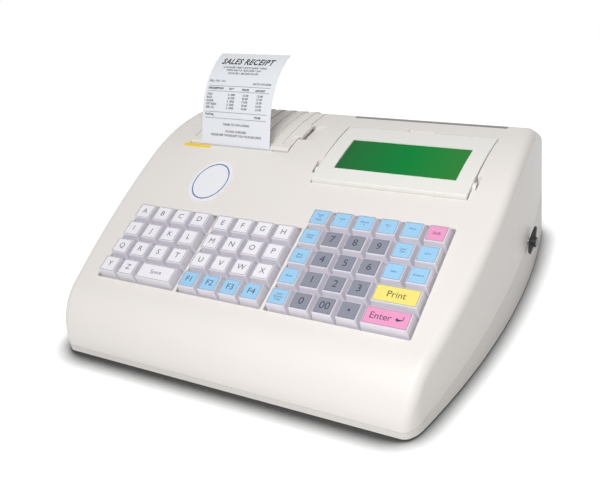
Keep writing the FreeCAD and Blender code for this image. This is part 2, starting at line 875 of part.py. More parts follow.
def pocket_wedge(grow, lead):
    """The finger pocket along the crown: a shallow floor that falls to a deep slot by the lid."""
    rise = surface_z(pocket_rear_y) - surface_z(pocket_front_y)
    corners = [(-lead, -pocket_slot_depth - grow), (pocket_slot_width + grow, -pocket_slot_depth - grow),
               (pocket_slot_width + grow, -pocket_floor_depth - grow),
               (pocket_width + grow, -pocket_edge_depth - grow),
               (pocket_width + grow, casing_height), (-lead, casing_height)]
    points = [V(x, -grow, z) for x, z in corners]
    points.append(points[0])
    wedge = Part.Face(Part.makePolygon(points)).extrude(V(0, pocket_length + 2 * grow, 0))
    wedge.rotate(V(0, 0, 0), V(1, 0, 0), math.degrees(math.atan2(rise, pocket_length)))
    wedge.translate(V(bay_right, pocket_front_y, surface_z(pocket_front_y)))
    return wedge


cover = fuse([cover, bay_walls, pocket_wedge(bay_skirt_wall, 0).common(outer)])
cover = cover.cut(box(bay_left, bay_right, bay_front_y, bay_rear_y, casing_height / 2, sky))
cover = cover.cut(pocket_wedge(0, overrun))

# The ribbed lid: a patch of the casing's form with a front lip, ribs, side
# stiffeners, a finger tab and two hinge knuckles
lid_patch = ridge_patch(lid_left, lid_right, lid_front_y, lid_rear_y, lid_thickness)
lip_rear_y = lid_front_y + lid_lip_length
lip_chamfer = lid_lip_length / 3
lip_outline = [
    (lid_front_y, surface_z(lid_front_y) - lid_lip_depth),
    (lid_front_y, surface_z(lid_front_y)),
    (lid_front_y + lip_chamfer, surface_z(lid_front_y + lip_chamfer) + lid_lip_proud),
    (lip_rear_y, surface_z(lip_rear_y) + lid_lip_proud / 2),
    (lip_rear_y, surface_z(lid_front_y) - lid_lip_depth),
]
front_lip = slab(lip_outline, lid_left, lid_right)
rib_skin = casing_form(-rib_height).cut(outer)
ribs = []
for number in range(rib_count):
    x = rib_right_x - number * rib_pitch
    ribs.append(rib_skin.common(box(x - rib_width / 2, x + rib_width / 2, lip_rear_y - overrun,
                                    lid_rear_y - rib_width, casing_height / 2, sky)))
lowered_skin = outer.copy()
lowered_skin.translate(V(0, 0, -lid_thickness - stiffener_depth))
stiffeners = []
for x in (lid_left, lid_right - lid_thickness):
    edge_wall = box(x, x + lid_thickness, lip_rear_y - overrun, lid_rear_y - stiffener_depth,
                    casing_height / 2, sky)
    stiffeners.append(outer.cut(lowered_skin).common(edge_wall))
tab_front_y = pocket_front_y + (pocket_length - tab_length) / 2
tab_z = surface_z(tab_front_y)
tab_lean_deg = math.degrees(math.atan2(surface_z(tab_front_y + tab_length) - tab_z, tab_length))
tab = box(-tab_reach_in, tab_reach_out, 0, tab_length, tab_proud - tab_thickness, tab_proud)
tab = tab.makeFillet(tab_edge_radius, [e for e in tab.Edges if e.BoundBox.ZMax > tab_proud - running_gap])
tab.rotate(V(0, 0, 0), V(1, 0, 0), tab_lean_deg)
tab.translate(V(lid_right, tab_front_y, tab_z))
knuckle_mids = [bay_x - hinge_span / 2, bay_x + hinge_span / 2]
lug_gap = panel_gap / 2
knuckles = []
for middle in knuckle_mids:
    x0 = middle - knuckle_length / 2
    x1 = middle + knuckle_length / 2
    knuckles.append(rod(hinge_y, hinge_z, hinge_radius, x0, x1))
    web = [(lid_rear_y - hinge_radius, surface_z(lid_rear_y) - wall), (lid_rear_y, surface_z(lid_rear_y)),
           (hinge_y, hinge_z + hinge_radius), (hinge_y, hinge_z - hinge_radius)]
    knuckles.append(slab(web, x0, x1))
lid = fuse([lid_patch, front_lip, tab] + ribs + stiffeners)
for middle in knuckle_mids:
    relief_x0 = middle + knuckle_length / 2
    lid = lid.cut(rod(hinge_y, hinge_z, hinge_radius + panel_gap, relief_x0,
                      relief_x0 + knuckle_length + 2 * lug_gap))
lid = fuse([lid] + knuckles)
lid = lid.cut(rod(hinge_y, hinge_z, hinge_pin_radius + running_gap, bay_left, bay_right))
save("printer_lid", [lid])

# Lugs on the rear edge of the bay, one beside each knuckle, with the pins
pins = []
for middle in knuckle_mids:
    x0 = middle + knuckle_length / 2 + lug_gap
    x1 = x0 + knuckle_length
    arm = [(hinge_y, hinge_z), (bay_rear_y + overrun, hinge_z), (bay_rear_y + overrun, skirt_low),
           (hinge_y, hinge_z - hinge_radius)]
    lug = fuse([rod(hinge_y, hinge_z, hinge_radius, x0, x1), slab(arm, x0, x1).common(outer)])
    cover = cover.fuse(lug)
    cover = cover.cut(rod(hinge_y, hinge_z, hinge_pin_radius, x0 - overrun, x1 + overrun))
    pins.append(rod(hinge_y, hinge_z, hinge_pin_radius, middle - knuckle_length / 2, x1))
save("lid_hinge_pins", pins)

# Tear bar on the front wall of the slot
paper_left = paper_x - paper_width / 2
paper_right = paper_x + paper_width / 2
bar_left = paper_left - tear_tooth_pitch * 2
bar_right = paper_right + tear_tooth_pitch * 2
bar_top = surface_z(bay_front_y) + tear_tooth_height / 2
teeth = int((bar_right - bar_left) / tear_tooth_pitch)
bar_points = [V(bar_left, bay_front_y, bar_top - tear_bar_height), V(bar_left, bay_front_y, bar_top)]
for tooth in range(teeth):
    x = bar_left + tooth * tear_tooth_pitch
    bar_points.append(V(x + tear_tooth_pitch / 2, bay_front_y, bar_top + tear_tooth_height))
    bar_points.append(V(x + tear_tooth_pitch, bay_front_y, bar_top))
bar_points.append(V(bar_left + teeth * tear_tooth_pitch, bay_front_y, bar_top - tear_bar_height))
bar_points.append(bar_points[0])
save("tear_bar", [Part.Face(Part.makePolygon(bar_points)).extrude(V(0, tear_bar_thickness, 0))])

# Printed receipt: it leaves the slot upright, leans back over the lid's lip and
# curls to the rear. Its side outline is drawn on both faces of the paper.
def receipt_side(depth):
    """Path up one face of the receipt, depth behind its front face, as edges."""
    front = receipt_front_y + depth
    bend = (receipt_front_y + receipt_bend_radius, receipt_bend_z)
    bend_angles = [180, 180 - receipt_lean_deg / 2, 180 - receipt_lean_deg]
    bend_points = [arc_point(bend, receipt_bend_radius - depth, a) for a in bend_angles]
    out = (cos_d(receipt_lean_deg), -sin_d(receipt_lean_deg))
    up = (sin_d(receipt_lean_deg), cos_d(receipt_lean_deg))
    curl_start = (bend_points[2][0] + receipt_straight * up[0], bend_points[2][1] + receipt_straight * up[1])
    curl_reach = receipt_curl_radius - depth
    curl = (curl_start[0] + curl_reach * out[0], curl_start[1] + curl_reach * out[1])
    first_angle = 180 - receipt_lean_deg
    curl_angles = [first_angle, first_angle - receipt_curl_deg / 2, first_angle - receipt_curl_deg]
    curl_points = [arc_point(curl, curl_reach, a) for a in curl_angles]
    foot = V(paper_left, front, receipt_foot_z)
    bend_points = [V(paper_left, *p) for p in bend_points]
    curl_points = [V(paper_left, *p) for p in curl_points]
    edges = [Part.LineSegment(foot, bend_points[0]).toShape(), Part.Arc(*bend_points).toShape(),
             Part.LineSegment(bend_points[2], curl_points[0]).toShape(), Part.Arc(*curl_points).toShape()]
    return foot, curl_points[2], edges


front_foot, front_top, front_edges = receipt_side(0)
back_foot, back_top, back_edges = receipt_side(paper_thickness)
top_end = Part.LineSegment(front_top, back_top).toShape()
foot_end = Part.LineSegment(back_foot, front_foot).toShape()
receipt_outline = Part.Wire(front_edges + [top_end] + back_edges[::-1] + [foot_end])
save("receipt_paper", [Part.Face(receipt_outline).extrude(V(paper_width, 0, 0))])

# Paper roll on its spindle, and the web of paper up to the slot
roll = rod(roll_y, roll_z, roll_radius, paper_left, paper_right)
roll = roll.cut(rod(roll_y, roll_z, spindle_radius, paper_left - overrun, paper_right + overrun))
save("paper_roll", [roll])
cheek_left = paper_x - cheek_span / 2
cheek_right = paper_x + cheek_span / 2
spindle = fuse([
    rod(roll_y, roll_z, spindle_radius, cheek_left + touch, cheek_right - touch),
    rod(roll_y, roll_z, trunnion_radius, cheek_left - cheek_thickness, cheek_right + cheek_thickness),
])
save("roll_spindle", [spindle])
web_y = platen_y - platen_radius - nip_gap - paper_thickness
leave_low = arc_point((roll_y, roll_z), roll_radius + touch + paper_thickness, web_leave_deg)
leave_high = arc_point((roll_y, roll_z), roll_radius + touch, web_leave_deg)
turn_z = platen_z - platen_radius - head_depth
web_top_z = receipt_foot_z - touch
web_points = [
    leave_low, (web_y, turn_z), (web_y, platen_z + platen_radius), (receipt_front_y, web_top_z),
    (receipt_front_y + paper_thickness, web_top_z), (web_y + paper_thickness, platen_z + platen_radius),
    (web_y + paper_thickness, turn_z), leave_high,
]
save("paper_web", [slab(web_points, paper_left, paper_right)])

# Feed train axes: the idler lies where its two centre distances meet
knob_axis = (knob_y, knob_z)
platen_axis = (platen_y, platen_z)
reach_a = (feed_teeth + idler_teeth) * gear_module / 2
reach_b = (platen_teeth + idler_teeth) * gear_module / 2
apart = math.dist(knob_axis, platen_axis)
along = (reach_a ** 2 - reach_b ** 2 + apart ** 2) / (2 * apart)
aside = math.sqrt(reach_a ** 2 - along ** 2)
unit = ((platen_y - knob_y) / apart, (platen_z - knob_z) / apart)
idler_axis = (knob_y + along * unit[0] + aside * unit[1], knob_z + along * unit[1] - aside * unit[0])
pinion_y = platen_y + (platen_teeth + pinion_teeth) * gear_module / 2
pinion_z = platen_z

# Printer frame: two cheeks on a floor plate, a crossbar that carries the head,
# a stud for the idler and spacers out to the motor plate
gear_x0 = cheek_right + cheek_thickness + overrun
gear_x1 = gear_x0 + gear_width
motor_x0 = gear_x1 + overrun
cheek_outline = [
    (frame_front_y, frame_floor_z), (frame_rear_y, frame_floor_z),
    (frame_rear_y, roll_z + roll_radius / 2), (roll_y + roll_radius / 2, frame_top_z - head_depth),
    (platen_y + platen_radius, frame_top_z), (frame_front_y, frame_top_z),
]
left_cheek = slab(cheek_outline, cheek_left - cheek_thickness, cheek_left)
right_cheek = slab(cheek_outline, cheek_right, cheek_right + cheek_thickness)
frame_floor = box(cheek_left - cheek_thickness, cheek_right + cheek_thickness, frame_front_y, frame_rear_y,
                  frame_floor_z - cheek_thickness, frame_floor_z)
head_front_y = web_y - nip_gap - head_depth
crossbar = box(cheek_left, cheek_right, frame_front_y, head_front_y, platen_z - head_height,
               platen_z + head_height / 2)
spacer_reach = motor_radius + spacer_radius + overrun
spacer_places = [(pinion_y + spacer_reach, pinion_z), (pinion_y + spacer_reach / 2, pinion_z - spacer_reach)]
motor_plate = box(motor_x0, motor_x0 + bracket_thickness, pinion_y - motor_radius,
                  pinion_y + spacer_reach + spacer_radius, pinion_z - spacer_reach - spacer_radius,
                  pinion_z + motor_radius)
spacers = [rod(y, z, spacer_radius, cheek_right, motor_x0 + bracket_thickness) for y, z in spacer_places]
idler_stud = rod(idler_axis[0], idler_axis[1], stud_radius, cheek_right, gear_x1)
printer_frame = fuse([left_cheek, right_cheek, frame_floor, crossbar, motor_plate, idler_stud] + spacers)
printer_frame = printer_frame.cut(rod(roll_y, roll_z, trunnion_radius + running_gap,
                                      cheek_left - far / 2, cheek_right + cheek_thickness + overrun))
platen_bore = rod(platen_y, platen_z, platen_shaft_radius + running_gap, cheek_left - far / 2,
                  cheek_right + cheek_thickness + overrun)
motor_bore = rod(pinion_y, pinion_z, motor_shaft_radius + overrun, motor_x0 - overrun, far)
printer_frame = printer_frame.cut(platen_bore).cut(motor_bore)
frame_low_z = frame_floor_z - cheek_thickness
frame_screw_places = [(x, y) for x in (cheek_left + stand_inset, cheek_right - stand_inset)
                      for y in (frame_front_y + stand_inset, frame_rear_y - stand_inset)]
for x, y in frame_screw_places:
    printer_frame = printer_frame.cut(post(x, y, small_screw_radius, 0, frame_floor_z + overrun))
    small_screws.append(board_screw(x, y, frame_floor_z))
save("printer_frame", [printer_frame])
head_left = paper_left - overrun
head_right = paper_right + overrun
head = box(head_left, head_right, head_front_y, web_y - nip_gap, platen_z - head_height / 2,
           platen_z + head_height / 2)
save("print_head", [head])

platen_tube = rod(platen_y, platen_z, platen_radius, paper_left - overrun, paper_right + overrun)
platen_tube = platen_tube.cut(rod(platen_y, platen_z, platen_shaft_radius, cheek_left, cheek_right))
save("platen_roller", [platen_tube])
save("platen_shaft", [rod(platen_y, platen_z, platen_shaft_radius, cheek_left - cheek_thickness, gear_x1)])


# Involute spur gears of the feed train, meshed in the rest position
def gear(teeth_count, phase_deg, y, z, bore, x0, x1):
    """A spur gear about X with a tooth centred on the phase angle."""
    pitch_r = teeth_count * gear_module / 2
    base_r = pitch_r * cos_d(pressure_deg)
    root_r = pitch_r - dedendum_share * gear_module
    tip_r = pitch_r + addendum_share * gear_module
    low_r = max(base_r, root_r)
    half_tooth = math.pi / (2 * teeth_count) - gear_backlash / (4 * pitch_r)

    def involute(radius):
        angle = math.acos(min(1, base_r / radius))
        return math.tan(angle) - angle

    flank = []
    for step in range(flank_points):
        radius = low_r + (tip_r - low_r) * step / (flank_points - 1)
        flank.append((radius, half_tooth + involute(pitch_r) - involute(radius)))
    points = []
    for tooth in range(teeth_count):
        middle = math.radians(phase_deg) + 2 * math.pi * tooth / teeth_count
        outline = [(root_r, -flank[0][1])] + [(r, -a) for r, a in flank]
        outline += [(r, a) for r, a in reversed(flank)] + [(root_r, flank[0][1])]
        if root_r >= base_r:
            outline = outline[1:-1]
        for radius, angle in outline:
            points.append(V(x0, y + radius * math.cos(middle + angle), z + radius * math.sin(middle + angle)))
    points.append(points[0])
    body = Part.Face(Part.makePolygon(points)).extrude(V(x1 - x0, 0, 0))
    return body.cut(rod(y, z, bore, x0 - overrun, x1 + overrun))


def meshed_phase(phase_deg, teeth_a, teeth_b, direction_deg):
    """Phase of gear b that puts a gap where gear a has a tooth."""
    ahead = (phase_deg - direction_deg) % (360 / teeth_a)
    return direction_deg + 180 - ahead * teeth_a / teeth_b + 180 / teeth_b


def angle_between(a, b):
    return math.degrees(math.atan2(b[1] - a[1], b[0] - a[0]))


feed_phase = angle_between(knob_axis, idler_axis)
idler_phase = meshed_phase(feed_phase, feed_teeth, idler_teeth, angle_between(knob_axis, idler_axis))
platen_phase = meshed_phase(idler_phase, idler_teeth, platen_teeth, angle_between(idler_axis, platen_axis))
pinion_phase = meshed_phase(platen_phase, platen_teeth, pinion_teeth,
                            angle_between(platen_axis, (pinion_y, pinion_z)))
print("idler axis", idler_axis, "pinion axis", pinion_y, pinion_z)
save("feed_gear", [gear(feed_teeth, feed_phase, knob_y, knob_z, feed_shaft_radius, gear_x0, gear_x1)])
save("platen_gear", [gear(platen_teeth, platen_phase, platen_y, platen_z, platen_shaft_radius,
                          gear_x0, gear_x1)])
save("idler_gear", [gear(idler_teeth, idler_phase, idler_axis[0], idler_axis[1],
                         stud_radius + running_gap, gear_x0, gear_x1)])
pinion_gear = gear(pinion_teeth, pinion_phase, pinion_y, pinion_z, motor_shaft_radius, gear_x0, gear_x1)
pinion_shaft = rod(pinion_y, pinion_z, motor_shaft_radius, gear_x0, motor_x0 + bracket_thickness + overrun)
save("motor_pinion", [fuse([pinion_gear, pinion_shaft])])
motor_body = rod(pinion_y, pinion_z, motor_radius, motor_x0 + bracket_thickness,
                 motor_x0 + bracket_thickness + motor_length)
motor_body = motor_body.cut(rod(pinion_y, pinion_z, motor_shaft_radius + running_gap, motor_x0,
                                motor_x0 + bracket_thickness + 2 * overrun))
save("feed_motor", [motor_body])

# Feed knob, a bar of two wings on a hub, and its long shaft in two bushes
side_x = half_width_at(knob_y)
knob_x0 = side_x + knob_stand_off
knob_root_x1 = knob_x0 + knob_root_depth
knob_tip_x0 = knob_x0 + knob_tip_setback
knob_tip_x1 = knob_tip_x0 + knob_tip_depth
shoulder_x = side_x + shaft_proud
feed_shaft = fuse([rod(knob_y, knob_z, feed_shaft_radius, gear_x0, shoulder_x),
                   rod(knob_y, knob_z, shaft_end_radius, shoulder_x - overrun, shoulder_x + shaft_end_length)])
save("feed_shaft", [feed_shaft])
wing_corners = [(knob_x0, -knob_hub_radius), (knob_tip_x0, -knob_short_reach), (knob_tip_x1, -knob_short_reach),
                (knob_root_x1, -knob_hub_radius), (knob_root_x1, knob_hub_radius),
                (knob_tip_x1, knob_long_reach), (knob_tip_x0, knob_long_reach), (knob_x0, knob_hub_radius)]
wing_points = [V(x, reach, -knob_wing_width / 2) for x, reach in wing_corners]
wing_points.append(wing_points[0])
wings = Part.Face(Part.makePolygon(wing_points)).extrude(V(0, 0, knob_wing_width))
wings = wings.makeFillet(knob_edge_radius, wings.Edges)
wings.rotate(V(0, 0, 0), V(1, 0, 0), knob_turn_deg)
wings.translate(V(0, knob_y, knob_z))
hub_x0 = knob_x0 + knob_hub_setback
hub = rod(knob_y, knob_z, knob_hub_radius, hub_x0, hub_x0 + knob_hub_length)
hub = hub.makeFillet(knob_edge_radius, hub.Edges)
boss = rod(knob_y, knob_z, knob_boss_radius, knob_x0, hub_x0 + overrun)
knob = fuse([wings, hub, boss])
shaft_bore = rod(knob_y, knob_z, shaft_end_radius, knob_x0 - overrun, shoulder_x + shaft_end_length)
save("feed_knob", [knob.cut(shaft_bore)])
bracket_places = [motor_x0 + bracket_thickness + motor_length / 4, side_x - wall - lip_gap - lip_thickness
                  - bush_length - overrun]
bushes = []
brackets = []
bracket_half = bush_radius + bracket_margin
tray_floor_z = foot_proud + wall
for x in bracket_places:
    bush = rod(knob_y, knob_z, bush_radius, x, x + bush_length)
    bushes.append(bush.cut(rod(knob_y, knob_z, feed_shaft_radius + running_gap, x - overrun,
                               x + bush_length + overrun)))
    upright = box(x, x + bush_length, knob_y - bracket_half, knob_y + bracket_half, tray_floor_z - overrun,
                  knob_z + bracket_half)
    brackets.append(upright.cut(rod(knob_y, knob_z, bush_radius, x - overrun, x + bush_length + overrun)))
save("shaft_bushes", bushes)
shaft_hole = rod(knob_y, knob_z, feed_shaft_radius + parting_gap, side_x - wall_stack, side_x + overrun)

# Fasteners, feet and the boards in the tray
screw_places = [(x * side_half_width, y * rear_y) for x, y in screw_place_shares]
foot_places = [(x * side_half_width, y * rear_y) for x, y in foot_place_shares]
post_top_z = tray_floor_z + tray_post_height
case_screws = []
tray = fuse([tray, lip, lip_foot] + brackets)
for x, y in screw_places:
    pillar = post(x, y, boss_radius, post_top_z, casing_height).common(inner)
    skin_top = post(x, y, boss_radius, post_top_z, casing_height).common(outer)
    cover = cover.fuse(pillar.common(skin_top))
    tray = tray.fuse(post(x, y, tray_post_radius, tray_floor_z - overrun, post_top_z))
    seat_z = foot_proud + counterbore_depth
    tray = tray.cut(post(x, y, screw_head_radius + parting_gap, 0, seat_z))
    tray = tray.cut(post(x, y, screw_radius + slide_gap, 0, post_top_z + overrun))
    cover = cover.cut(post(x, y, screw_radius, 0, seat_z + screw_length))
    case_screws.append(fuse([post(x, y, screw_head_radius, seat_z - screw_head_height, seat_z),
                             post(x, y, screw_radius, seat_z - overrun, seat_z + screw_length)]))
save("case_screws", case_screws)
feet = []
for x, y in foot_places:
    pad = post(x, y, foot_radius, 0, foot_height)
    tray = tray.cut(pad)
    feet.append(pad.makeFillet(foot_proud / 2, [e for e in pad.Edges if e.BoundBox.ZMax < running_gap]))
save("rubber_feet", feet)

cover = cover.cut(shaft_hole)
tray = tray.cut(shaft_hole)

# Standoffs under the printer frame and the main board
main_screw_places = [(x, y) for x in (main_left + stand_inset, main_right - stand_inset)
                     for y in (main_front_y + stand_inset, main_rear_y - 2 * stand_inset)]
stand_places = [(x, y, frame_low_z) for x, y in frame_screw_places]
stand_places += [(x, y, board_z) for x, y in main_screw_places]
for x, y, top_z in stand_places:
    stand = post(x, y, stand_radius, tray_floor_z - overrun, top_z)
    tray = tray.fuse(stand.cut(post(x, y, small_screw_radius, tray_floor_z, top_z + overrun)))

# Rear sockets on the main board, looking out through the tray's rear wall
socket_z = board_z + board_thickness
socket_face_y = rear_y
housing_front_y = socket_face_y - socket_depth


def housing(x, width, height):
    return box(x - width / 2, x + width / 2, housing_front_y, socket_face_y, socket_z, socket_z + height)


def hole_in(x, width, height, depth, middle_z):
    return box(x - width / 2, x + width / 2, socket_face_y - depth, socket_face_y + overrun,
               middle_z - height / 2, middle_z + height / 2)


def rear_rod(x, z, radius, y0, y1):
    return Part.makeCylinder(radius, y1 - y0, V(x, y0, z), V(0, 1, 0))


jack_z = socket_z + power_jack_size / 2
jack_floor_y = housing_front_y + power_jack_back
jack = housing(power_jack_x, power_jack_size, power_jack_size)
jack = jack.cut(rear_rod(power_jack_x, jack_z, power_jack_bore, jack_floor_y, socket_face_y + overrun))
jack_pin = rear_rod(power_jack_x, jack_z, power_jack_pin, jack_floor_y, socket_face_y - power_jack_pin_setback)
serial_z = socket_z + serial_height / 2
serial_ring = hole_in(serial_x, serial_shell_width, serial_shell_height, serial_slot_depth, serial_z)
serial_core = hole_in(serial_x, serial_shell_width - 2 * serial_slot, serial_shell_height - 2 * serial_slot,
                      serial_slot_depth, serial_z)
serial = housing(serial_x, serial_width, serial_height)
serial = serial.cut(serial_ring.cut(serial_core)).common(serial)
drawer_port_z = socket_z + drawer_height / 2
drawer_port = housing(drawer_x, drawer_width, drawer_height)
drawer_port = drawer_port.cut(hole_in(drawer_x, drawer_hole_width, drawer_hole_height, drawer_hole_depth,
                                      drawer_port_z))
usb_z = socket_z + usb_size / 2
usb_port = housing(usb_x, usb_size, usb_size)
usb_tongue = hole_in(usb_x, usb_tongue_width, usb_tongue_height, drawer_hole_depth, usb_z)
usb_port = usb_port.cut(hole_in(usb_x, usb_hole, usb_hole, drawer_hole_depth, usb_z).cut(usb_tongue))
save("rear_sockets", [jack, jack_pin, serial, drawer_port, usb_port])
for x, width, height in ((power_jack_x, power_jack_size, power_jack_size),
                         (serial_x, serial_width, serial_height),
                         (drawer_x, drawer_width, drawer_height), (usb_x, usb_size, usb_size)):
    tray = tray.cut(box(x - width / 2 - slide_gap, x + width / 2 + slide_gap, rear_y - wall_stack,
                        rear_y + overrun, socket_z - slide_gap, socket_z + height + slide_gap))

# Main board with its larger parts
main_board = box(main_left, main_right, main_front_y, main_rear_y, board_z, board_z + board_thickness)
main_width = main_right - main_left
main_length = main_rear_y - main_front_y


def on_main_board(place_share, size_share, height):
    """A block that stands on the main board."""
    x = main_left + place_share[0] * main_width
    y = main_front_y + place_share[1] * main_length
    half_x = size_share[0] * main_width / 2
    half_y = size_share[1] * main_length / 2
    return box(x - half_x, x + half_x, y - half_y, y + half_y, socket_z, socket_z + height)


board_parts = [on_main_board(place, size, chip_height)
               for place, size in zip(chip_place_shares, chip_size_shares)]
board_parts.append(on_main_board(converter_place_share, converter_size_share, converter_height))
for x_share, y_share in capacitor_place_shares:
    board_parts.append(post(main_left + x_share * main_width, main_front_y + y_share * main_length,
                            capacitor_radius, socket_z, socket_z + capacitor_height))
main_board = fuse([main_board] + board_parts)
for x, y in main_screw_places:
    main_board = main_board.cut(post(x, y, small_screw_radius, 0, socket_z + overrun))
    small_screws.append(board_screw(x, y, socket_z))
save("main_board", [main_board])

# Battery pack in its cradle, under the keyboard
battery = box(battery_x - battery_width / 2, battery_x + battery_width / 2, battery_y - battery_length / 2,
              battery_y + battery_length / 2, tray_floor_z, tray_floor_z + battery_height)
battery_edges = [e for e in battery.Edges if abs(e.tangentAt(0).x) > along_share
                 and e.BoundBox.ZMin > tray_floor_z + overrun]
battery = battery.makeFillet(battery_edge_radius, battery_edges)
save("battery_pack", [battery])
cradle_grow = cradle_wall + touch
cradle = box(battery_x - battery_width / 2 - cradle_grow, battery_x + battery_width / 2 + cradle_grow,
             battery_y - battery_length / 2 - cradle_grow, battery_y + battery_length / 2 + cradle_grow,
             tray_floor_z - overrun, tray_floor_z + cradle_height)
cradle = cradle.cut(box(battery_x - battery_width / 2 - touch, battery_x + battery_width / 2 + touch,
                        battery_y - battery_length / 2 - touch, battery_y + battery_length / 2 + touch,
                        tray_floor_z, sky))
tray = tray.fuse(cradle)

# Mains switch: a rocker in a bezel on the tray's rear wall, at its off position
bezel_half_x = bezel_width / 2
bezel_half_z = bezel_height / 2
body_half_x = bezel_half_x - bezel_flange
body_half_z = bezel_half_z - bezel_flange
bezel = fuse([
    box(switch_x - bezel_half_x, switch_x + bezel_half_x, rear_y, rear_y + bezel_proud,
        switch_z - bezel_half_z, switch_z + bezel_half_z),
    box(switch_x - body_half_x, switch_x + body_half_x, rear_y - bezel_depth, rear_y,
        switch_z - body_half_z, switch_z + body_half_z),
])
tray = tray.cut(box(switch_x - body_half_x - slide_gap, switch_x + body_half_x + slide_gap,
                    rear_y - wall_stack, rear_y, switch_z - body_half_z - slide_gap,
                    switch_z + body_half_z + slide_gap))
pivot_depth_y = rear_y - rocker_depth / 2
rocker_half_x = rocker_width / 2
rocker_half_z = rocker_height / 2
bezel = bezel.cut(box(switch_x - rocker_half_x - rocker_gap, switch_x + rocker_half_x + rocker_gap,
                      rear_y - rocker_depth - rocker_back_gap, rear_y + bezel_proud + overrun,
                      switch_z - rocker_half_z - rocker_gap, switch_z + rocker_half_z + rocker_gap))
pin_half = rocker_half_x + rocker_pin_reach + rocker_gap
bezel = bezel.cut(rod(pivot_depth_y, switch_z, rocker_pin_radius + running_gap,
                      switch_x - pin_half - running_gap, switch_x + pin_half + running_gap))
save("switch_bezel", [bezel])
rocker_back_y = rear_y - rocker_depth + rocker_back_gap
rocker_face_y = rear_y + bezel_proud
rocker_outline = [
    (rocker_back_y, switch_z - rocker_half_z / 2), (rear_y, switch_z - rocker_half_z + rocker_gap),
    (rocker_face_y + rocker_horn, switch_z - rocker_half_z + rocker_gap), (rocker_face_y, switch_z),
    (rocker_face_y + rocker_horn, switch_z + rocker_half_z - rocker_gap),
    (rear_y, switch_z + rocker_half_z - rocker_gap), (rocker_back_y, switch_z + rocker_half_z / 2),
]
rocker = fuse([slab(rocker_outline, switch_x - rocker_half_x, switch_x + rocker_half_x),
               rod(pivot_depth_y, switch_z, rocker_pin_radius, switch_x - pin_half, switch_x + pin_half)])
rocker.rotate(V(switch_x, pivot_depth_y, switch_z), V(1, 0, 0), rocker_tilt_deg)
save("power_switch", [rocker])

save("small_screws", small_screws)
save("top_cover", [cover.removeSplitter()])
save("base_tray", [tray.removeSplitter()])
print("deck frame", key_row_y, key_row_z, "knob end", hub_x0 + knob_hub_length)
print("receipt top", front_top.y, front_top.z)
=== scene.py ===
import math

import bpy
from mathutils import Matrix, Vector


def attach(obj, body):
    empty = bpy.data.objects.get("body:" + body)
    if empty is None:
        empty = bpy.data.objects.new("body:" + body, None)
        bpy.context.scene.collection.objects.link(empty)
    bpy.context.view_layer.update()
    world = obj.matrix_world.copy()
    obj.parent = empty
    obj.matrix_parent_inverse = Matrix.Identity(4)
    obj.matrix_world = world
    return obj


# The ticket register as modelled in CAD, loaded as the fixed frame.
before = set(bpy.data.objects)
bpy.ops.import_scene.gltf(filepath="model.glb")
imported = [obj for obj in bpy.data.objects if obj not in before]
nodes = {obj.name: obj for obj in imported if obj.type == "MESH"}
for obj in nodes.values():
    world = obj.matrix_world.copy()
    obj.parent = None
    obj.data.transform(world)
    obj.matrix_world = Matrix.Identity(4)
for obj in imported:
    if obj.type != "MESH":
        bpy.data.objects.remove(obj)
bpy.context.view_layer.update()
bpy.ops.object.select_all(action="DESELECT")
bpy.context.scene.view_settings.view_transform = "Standard"


# The camera stands in front of the register, to its right and above it, with
# its horizon a little tilted, as the photograph was taken.
camera_place = Vector((0.34159, -0.53182, 0.37999))
camera_right = Vector((0.8607, 0.4924, -0.1287))
camera_up = Vector((-0.1348, 0.4645, 0.8752))
camera_lens = 50.65
camera_sensor = 36.0
nearest_seen = 0.01

bpy.ops.object.camera_add(location=camera_place)
camera = bpy.context.object
camera.name = "camera"
camera_back = camera_right.cross(camera_up)
camera.matrix_world = Matrix.Translation(camera_place) @ Matrix(
    (camera_right, camera_up, camera_back)).transposed().to_4x4()
camera.data.sensor_width = camera_sensor
camera.data.lens = camera_lens
camera.data.clip_start = nearest_seen
bpy.context.scene.camera = camera


# The counter is a plain white sweep. The register's soft shadow on it is painted shadow:
# the sweep's colour and glow darken with how close the register stands over it.
floor_size = 12.0
shadow_reach = 0.026
shadow_samples = 24
shadow_lean = (0.06, 0.35, 0.90)
shadow_full_at = 0.50
shadow_gone_at = 0.98
shadow_darkest = 0.05
floor_glow = 0.62
fade_start = 0.40
fade_end = 0.80
white_level = 1.0
floor_for_light = (0.68, 0.68, 0.68, 1)


def seen_rays(tree):
    """One for rays that show the surroundings: straight, mirrored or passed through."""
    rays = tree.nodes.new("ShaderNodeLightPath")
    first = tree.nodes.new("ShaderNodeMath")
    first.operation = "MAXIMUM"
    both = tree.nodes.new("ShaderNodeMath")
    both.operation = "MAXIMUM"
    tree.links.new(rays.outputs["Is Camera Ray"], first.inputs[0])
    tree.links.new(rays.outputs["Is Glossy Ray"], first.inputs[1])
    tree.links.new(first.outputs["Value"], both.inputs[0])
    tree.links.new(rays.outputs["Is Transmission Ray"], both.inputs[1])
    return both.outputs["Value"]


